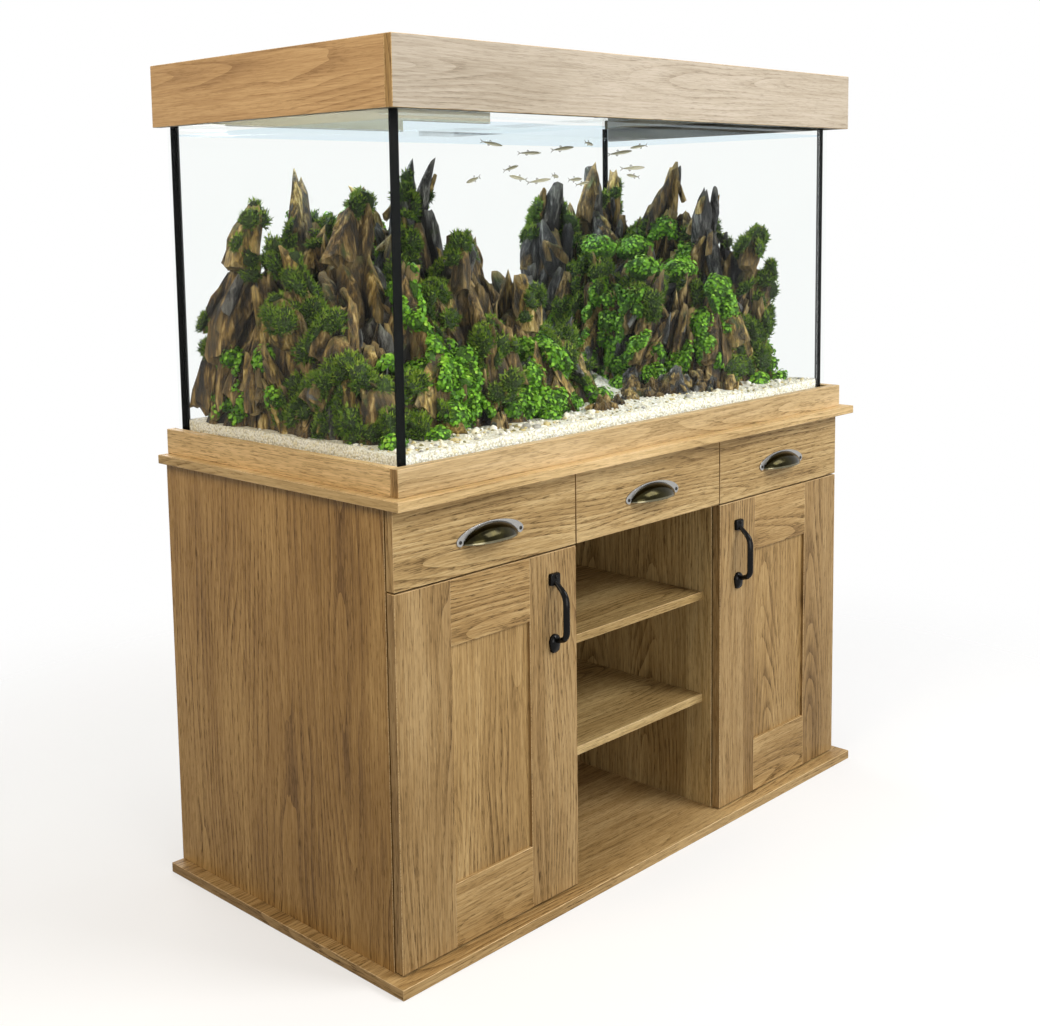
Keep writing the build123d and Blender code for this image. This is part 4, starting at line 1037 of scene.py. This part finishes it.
# Fish
# A small shoal of slim, half-clear fish in open water above the ridge, each a long body that narrows to
# a forked tail, with a back fin and a belly fin.
fish_skin, place = new_material("fish_skin")
height_way = place.axes()[2]
scales = place.cells(900.0)
back_tone = height_way.between(-0.003, 0.004).mix((0.80, 0.76, 0.56), (0.30, 0.27, 0.12))
stripe = (1.0 - (height_way * 700.0) ** 2.0).between(0.0, 1.0)
skin = (stripe * 0.6).mix(back_tone, (0.10, 0.085, 0.04))
place.surface(skin, 0.25 + 0.2 * scales, scales.bump(0.0004, 0.4), {"Coat Weight": 0.4})
fin_film, place = new_material("fish_fin")
rays = place.stretched((900.0, 200.0, 900.0)).speckle(2.0)
clear_fin = place.node("BsdfTransparent", {}, {"Color": (1.0, 1.0, 1.0)})
fin_body = place.node("BsdfPrincipled", {}, {
    "Base Color": rays.mix((0.20, 0.18, 0.10), (0.45, 0.42, 0.30)), "Roughness": 0.4
})
fin_mix = place.node("MixShader", {}, {0: 0.2 + 0.35 * rays, 1: clear_fin, 2: fin_body})
place.output(fin_mix)
outline = (
    (-0.022, 0.0006, 0.0004), (-0.020, 0.0013, 0.0011), (-0.015, 0.0024, 0.0019), (-0.007, 0.0031, 0.0023),
    (0.001, 0.0029, 0.0022), (0.009, 0.0021, 0.0016), (0.015, 0.0013, 0.0010), (0.018, 0.0010, 0.0006),
)
rings = []
for x, tall, wide in outline:
    rings.append([(x, wide * cos(angle), tall * sin(angle)) for angle in circle(12)])
fish_corners, fish_faces = tube(rings)
fish_picks = [0] * len(fish_faces)
fins = (
    ((0.0165, 0.0), (0.0262, 0.0042), (0.0225, 0.0), (0.0262, -0.0042)),
    ((0.0010, 0.0032), (0.0040, 0.0060), (0.0066, 0.0054), (0.0066, 0.0026)),
    ((0.0035, -0.0030), (0.0065, -0.0054), (0.0088, -0.0046), (0.0096, -0.0020)),
)
for fin in fins:
    start = len(fish_corners)
    fish_corners += [(x, 0.0002, z) for x, z in fin] + [(x, -0.0002, z) for x, z in fin]
    fish_faces += [tuple(start + step for step in (0, 1, 2, 3)), tuple(start + step for step in (7, 6, 5, 4))]
    for step in range(4):
        after = (step + 1) % 4
        fish_faces.append((start + after, start + step, start + step + 4, start + after + 4))
    fish_picks += [1] * 6
for number in range(15):
    fish = mesh_piece("fish_" + str(number + 1), fish_corners, fish_faces, (fish_skin, fin_film), fish_picks)
    shoal = np.random.default_rng(number)
    fish.location = (0.033 * number - 0.32, shoal.uniform(-0.235, -0.12), shoal.uniform(1.255, 1.345))
    pitch = shoal.uniform(-0.22, 0.22)
    fish.rotation_euler = (0.0, pitch, shoal.choice((0.0, pi)) + shoal.uniform(-0.5, 0.5))
    fish.scale = [shoal.uniform(0.85, 1.15)] * 3
    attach(fish, "cabinet")


# Water
# The tank is filled to just under its braces. Only the skin of the water shows, a faint blue film with
# slow ripples from the filter's flow.
water_skin = clear("water_skin", (0.90, 0.95, 0.98), 0.12)
WATER_LEVEL = 1.370
WATER_SKIN = 0.003
RIPPLE = 0.0016


def ripple(x, y):
    """Height of the water at a place."""
    return WATER_LEVEL + RIPPLE * noise.noise(Vector((x * 9.0, y * 13.0, 5.5)))


across = np.linspace(-0.5985, 0.5985, 81)
back = np.linspace(-0.2745, 0.3125, 41)
heights = [[ripple(x, y) for x in across] for y in back]
corners, faces = block_under(across, back, heights, WATER_LEVEL - WATER_SKIN)
water = mesh_piece("water_surface", corners, faces, (water_skin,))
belongs(water, "cabinet", "clear_glass")


# Hood
# Oak-effect boards round the rim of the tank, resting on strips inside, with a fixed strip of top behind
# and a lid that lifts on two plated hinges. The front is printed paler and greyer, a painted sheen, and the
# sides paler and warmer, painted warm light.
# The hood prints are lit copies of the cabinet's: front as painted sheen, sides as painted warm light, top
# between as painted light.
hood_level_painted_sheen = oak("hood_level_painted_sheen", 0, (0.49, 0.421, 0.335), (0.405, 0.342, 0.260), (0.305, 0.246, 0.175), 0.5)
hood_deep_painted_warm_light = oak("hood_deep_painted_warm_light", 1, (0.62, 0.415, 0.210), (0.49, 0.310, 0.146), (0.33, 0.195, 0.085), 0.4)
hood_top_painted_light = oak("hood_top_painted_light", 0, (0.54, 0.425, 0.285), (0.435, 0.330, 0.205), (0.315, 0.225, 0.130), 0.5)
# Inside the hood, on its strips and on the rear apron, a dark grey-olive print is painted shade and a painted
# reflection of the water.
inside_painted_shade = figured(
    "inside_board_painted_shade", (4.0, 12.0, 90.0), 4.0, ((0.050, 0.044, 0.020), (0.098, 0.087, 0.046)),
    (0.45, 0.2), (0.0004, 0.3), {}
)
tank_middle = Vector((0.0, (bed_low[1] + bed_high[1]) / 2.0, 0.0))


def faces_water(face):
    """As banded, and 3 for the faces inside the hood, which take the dark print of painted shade."""
    towards = tank_middle - face.center
    towards.z = 0.0
    inward = face.normal.dot(towards.normalized()) > 0.3 and face.normal.z < 0.5
    return 3 if inward or face.normal.z < -0.97 else banded(face)


dress((hood_level_painted_sheen, oak_edge_painted_highlight, oak_upright, inside_painted_shade), faces_water, "hood_front")
dress((hood_top_painted_light, oak_edge_painted_highlight, oak_upright, inside_painted_shade), faces_water, "hood_back", "hood_rear_top", "hood_lid")
dress((hood_deep_painted_warm_light, oak_edge_painted_highlight, hood_deep_painted_warm_light, inside_painted_shade), faces_water, "hood_left_side", "hood_right_side")
dress((inside_painted_shade,), None, "hood_strips")
rim_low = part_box("back_glass")[0]
brace_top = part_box("glass_braces")[1][2]
APRON_THICK = 0.0050
APRON_BEVEL = 0.0010
CLOSE = 0.0005
apron_back = rim_low[1] - CLOSE
apron_front = apron_back - APRON_THICK
apron_foot = brace_top + CLOSE
apron_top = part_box("hood_back")[0][2]
apron_rings = []
for x, draw in ((-0.588, 1.0), (-0.587, 0.0), (-0.053, 0.0), (-0.052, 1.0)):
    front = apron_front + draw * APRON_BEVEL
    foot = apron_foot + draw * APRON_BEVEL
    section = [(front, foot + APRON_BEVEL), (front + APRON_BEVEL, foot)]
    section += [(apron_back, foot), (apron_back, apron_top), (front, apron_top)]
    apron_rings.append([(x, y, z) for y, z in section])
apron = mesh_piece("rear_apron", *tube(apron_rings), (inside_painted_shade,), None, False)
belongs(apron, "cabinet", "oak")
dress((zinc,), None, "lid_hinge_fixed_leaves", "lid_hinge_moving_leaves", "light_hangers")


# Lights
# Two slim light bars hung under the fixed top: extruded aluminium with an opal strip below, and moulded
# end caps. They shine down on the planting.
alloy = figured(
    "light_alloy", (6.0, 500.0, 500.0), 2.0, ((0.50, 0.51, 0.52), (0.66, 0.66, 0.67)),
    (0.3, 0.15), (0.0002, 0.3), {"Metallic": 1.0}
)
opal, place = new_material("opal_plastic")
frost = place.speckle(3.0, 220.0)
milky = frost.mix((0.82, 0.83, 0.82), (0.90, 0.90, 0.89))
shine = frost.mix((0.95, 0.97, 1.0), (1.0, 1.0, 1.0))
place.surface(milky, 0.35 + 0.2 * frost, None, {"Emission Color": shine, "Emission Strength": 24.0})
caps = figured(
    "cap_plastic", (600.0, 600.0, 600.0), 3.0, ((0.020, 0.021, 0.022), (0.045, 0.046, 0.048)),
    (0.45, 0.2), (0.0003, 0.3), {}
)
dress((alloy,), None, "light_bars")
dress((opal,), None, "light_diffusers")
dress((caps,), None, "light_end_caps")


# Studio
# A pale floor that keeps the shadow, a white surround, and broad soft lamps in front, to the left, above
# and behind. The camera stands in front of the left corner at the height of the tank.
def seen_directly(tree):
    """1 for what the camera sees, also in a mirror or through glass, and 0 for light that bounces."""
    path = tree.nodes.new("ShaderNodeLightPath")
    seen = Socket(tree, path.outputs["Is Camera Ray"])
    for name in ("Is Glossy Ray", "Is Transmission Ray"):
        seen = seen.larger(Socket(tree, path.outputs[name]))
    return seen


floor_white, place = new_material("studio_floor")
seen = seen_directly(floor_white.node_tree)
wash = place.speckle(2.0, 3.0)
paint = seen.mix((0.14, 0.13, 0.12), wash.mix((0.86, 0.86, 0.86), (0.88, 0.88, 0.88)))
matt = place.node("BsdfDiffuse", {}, {"Color": paint})
glow = place.node("Emission", {}, {"Color": (1.0, 1.0, 1.0), "Strength": 1.0})
lit = place.node("MixShader", {}, {0: seen * 0.5, 1: matt, 2: glow})
far_x, far_y = place.axes()[:2]
distance = (far_x ** 2.0 + far_y ** 2.0).root()
gone = place.node("BsdfTransparent", {}, {})
sheet = place.node("MixShader", {}, {0: distance.between(1.1, 2.1), 1: lit, 2: gone})
place.output(sheet)
floor = mesh_piece(
    "studio_floor", ((-3, -3, 0), (3, -3, 0), (3, 3, 0), (-3, 3, 0)), [(0, 1, 2, 3)], (floor_white,)
)

world = bpy.data.worlds.new("studio")
world.use_nodes = True
world.node_tree.nodes.clear()
seen = seen_directly(world.node_tree)
sky = seen.node("Background", {}, {"Color": (1.0, 1.0, 1.0), "Strength": 0.30 + 0.70 * seen})
seen.node("OutputWorld", {}, {"Surface": sky})
bpy.context.scene.world = world


def lamp(name, place, target, size, power, colour):
    """A broad square lamp at a place, facing a target."""
    light = bpy.data.lights.new(name, "AREA")
    light.color = colour
    light.size = size
    light.energy = power
    holder = bpy.data.objects.new(name, light)
    holder.location = place
    holder.rotation_euler = (Vector(target) - Vector(place)).to_track_quat("-Z", "Y").to_euler()
    bpy.context.collection.objects.link(holder)


lamp("front_lamp", (1.2, -2.6, 2.8), (0.0, 0.0, 1.0), 1.6, 98.0, (1.0, 0.99, 0.97))
lamp("fill_lamp", (-1.0, -3.3, 0.8), (0.0, 0.0, 0.5), 1.8, 42.0, (1.0, 0.98, 0.95))
lamp("left_lamp", (-2.5, -0.2, 2.7), (0.0, 0.0, 1.0), 1.3, 42.0, (1.0, 0.84, 0.62))
lamp("top_lamp", (0.0, -0.2, 3.6), (0.0, 0.0, 0.8), 2.0, 34.0, (1.0, 1.0, 1.0))
lamp("back_lamp", (0.6, 3.2, 2.0), (0.0, 0.0, 0.7), 2.0, 44.0, (1.0, 0.99, 0.97))

camera = bpy.data.objects.new("camera", bpy.data.cameras.new("camera"))
camera.location = (-2.0575, -1.9056, 1.2392)
camera.rotation_euler = [radians(angle) for angle in (83.3251, 0.9125, -45.555)]
camera.data.lens = 49.357
camera.data.shift_x = 0.0288
camera.data.shift_y = -0.1375
camera.data.clip_end = 60.0
bpy.context.collection.objects.link(camera)
bpy.context.scene.camera = camera
bpy.context.scene.view_settings.view_transform = "Standard"
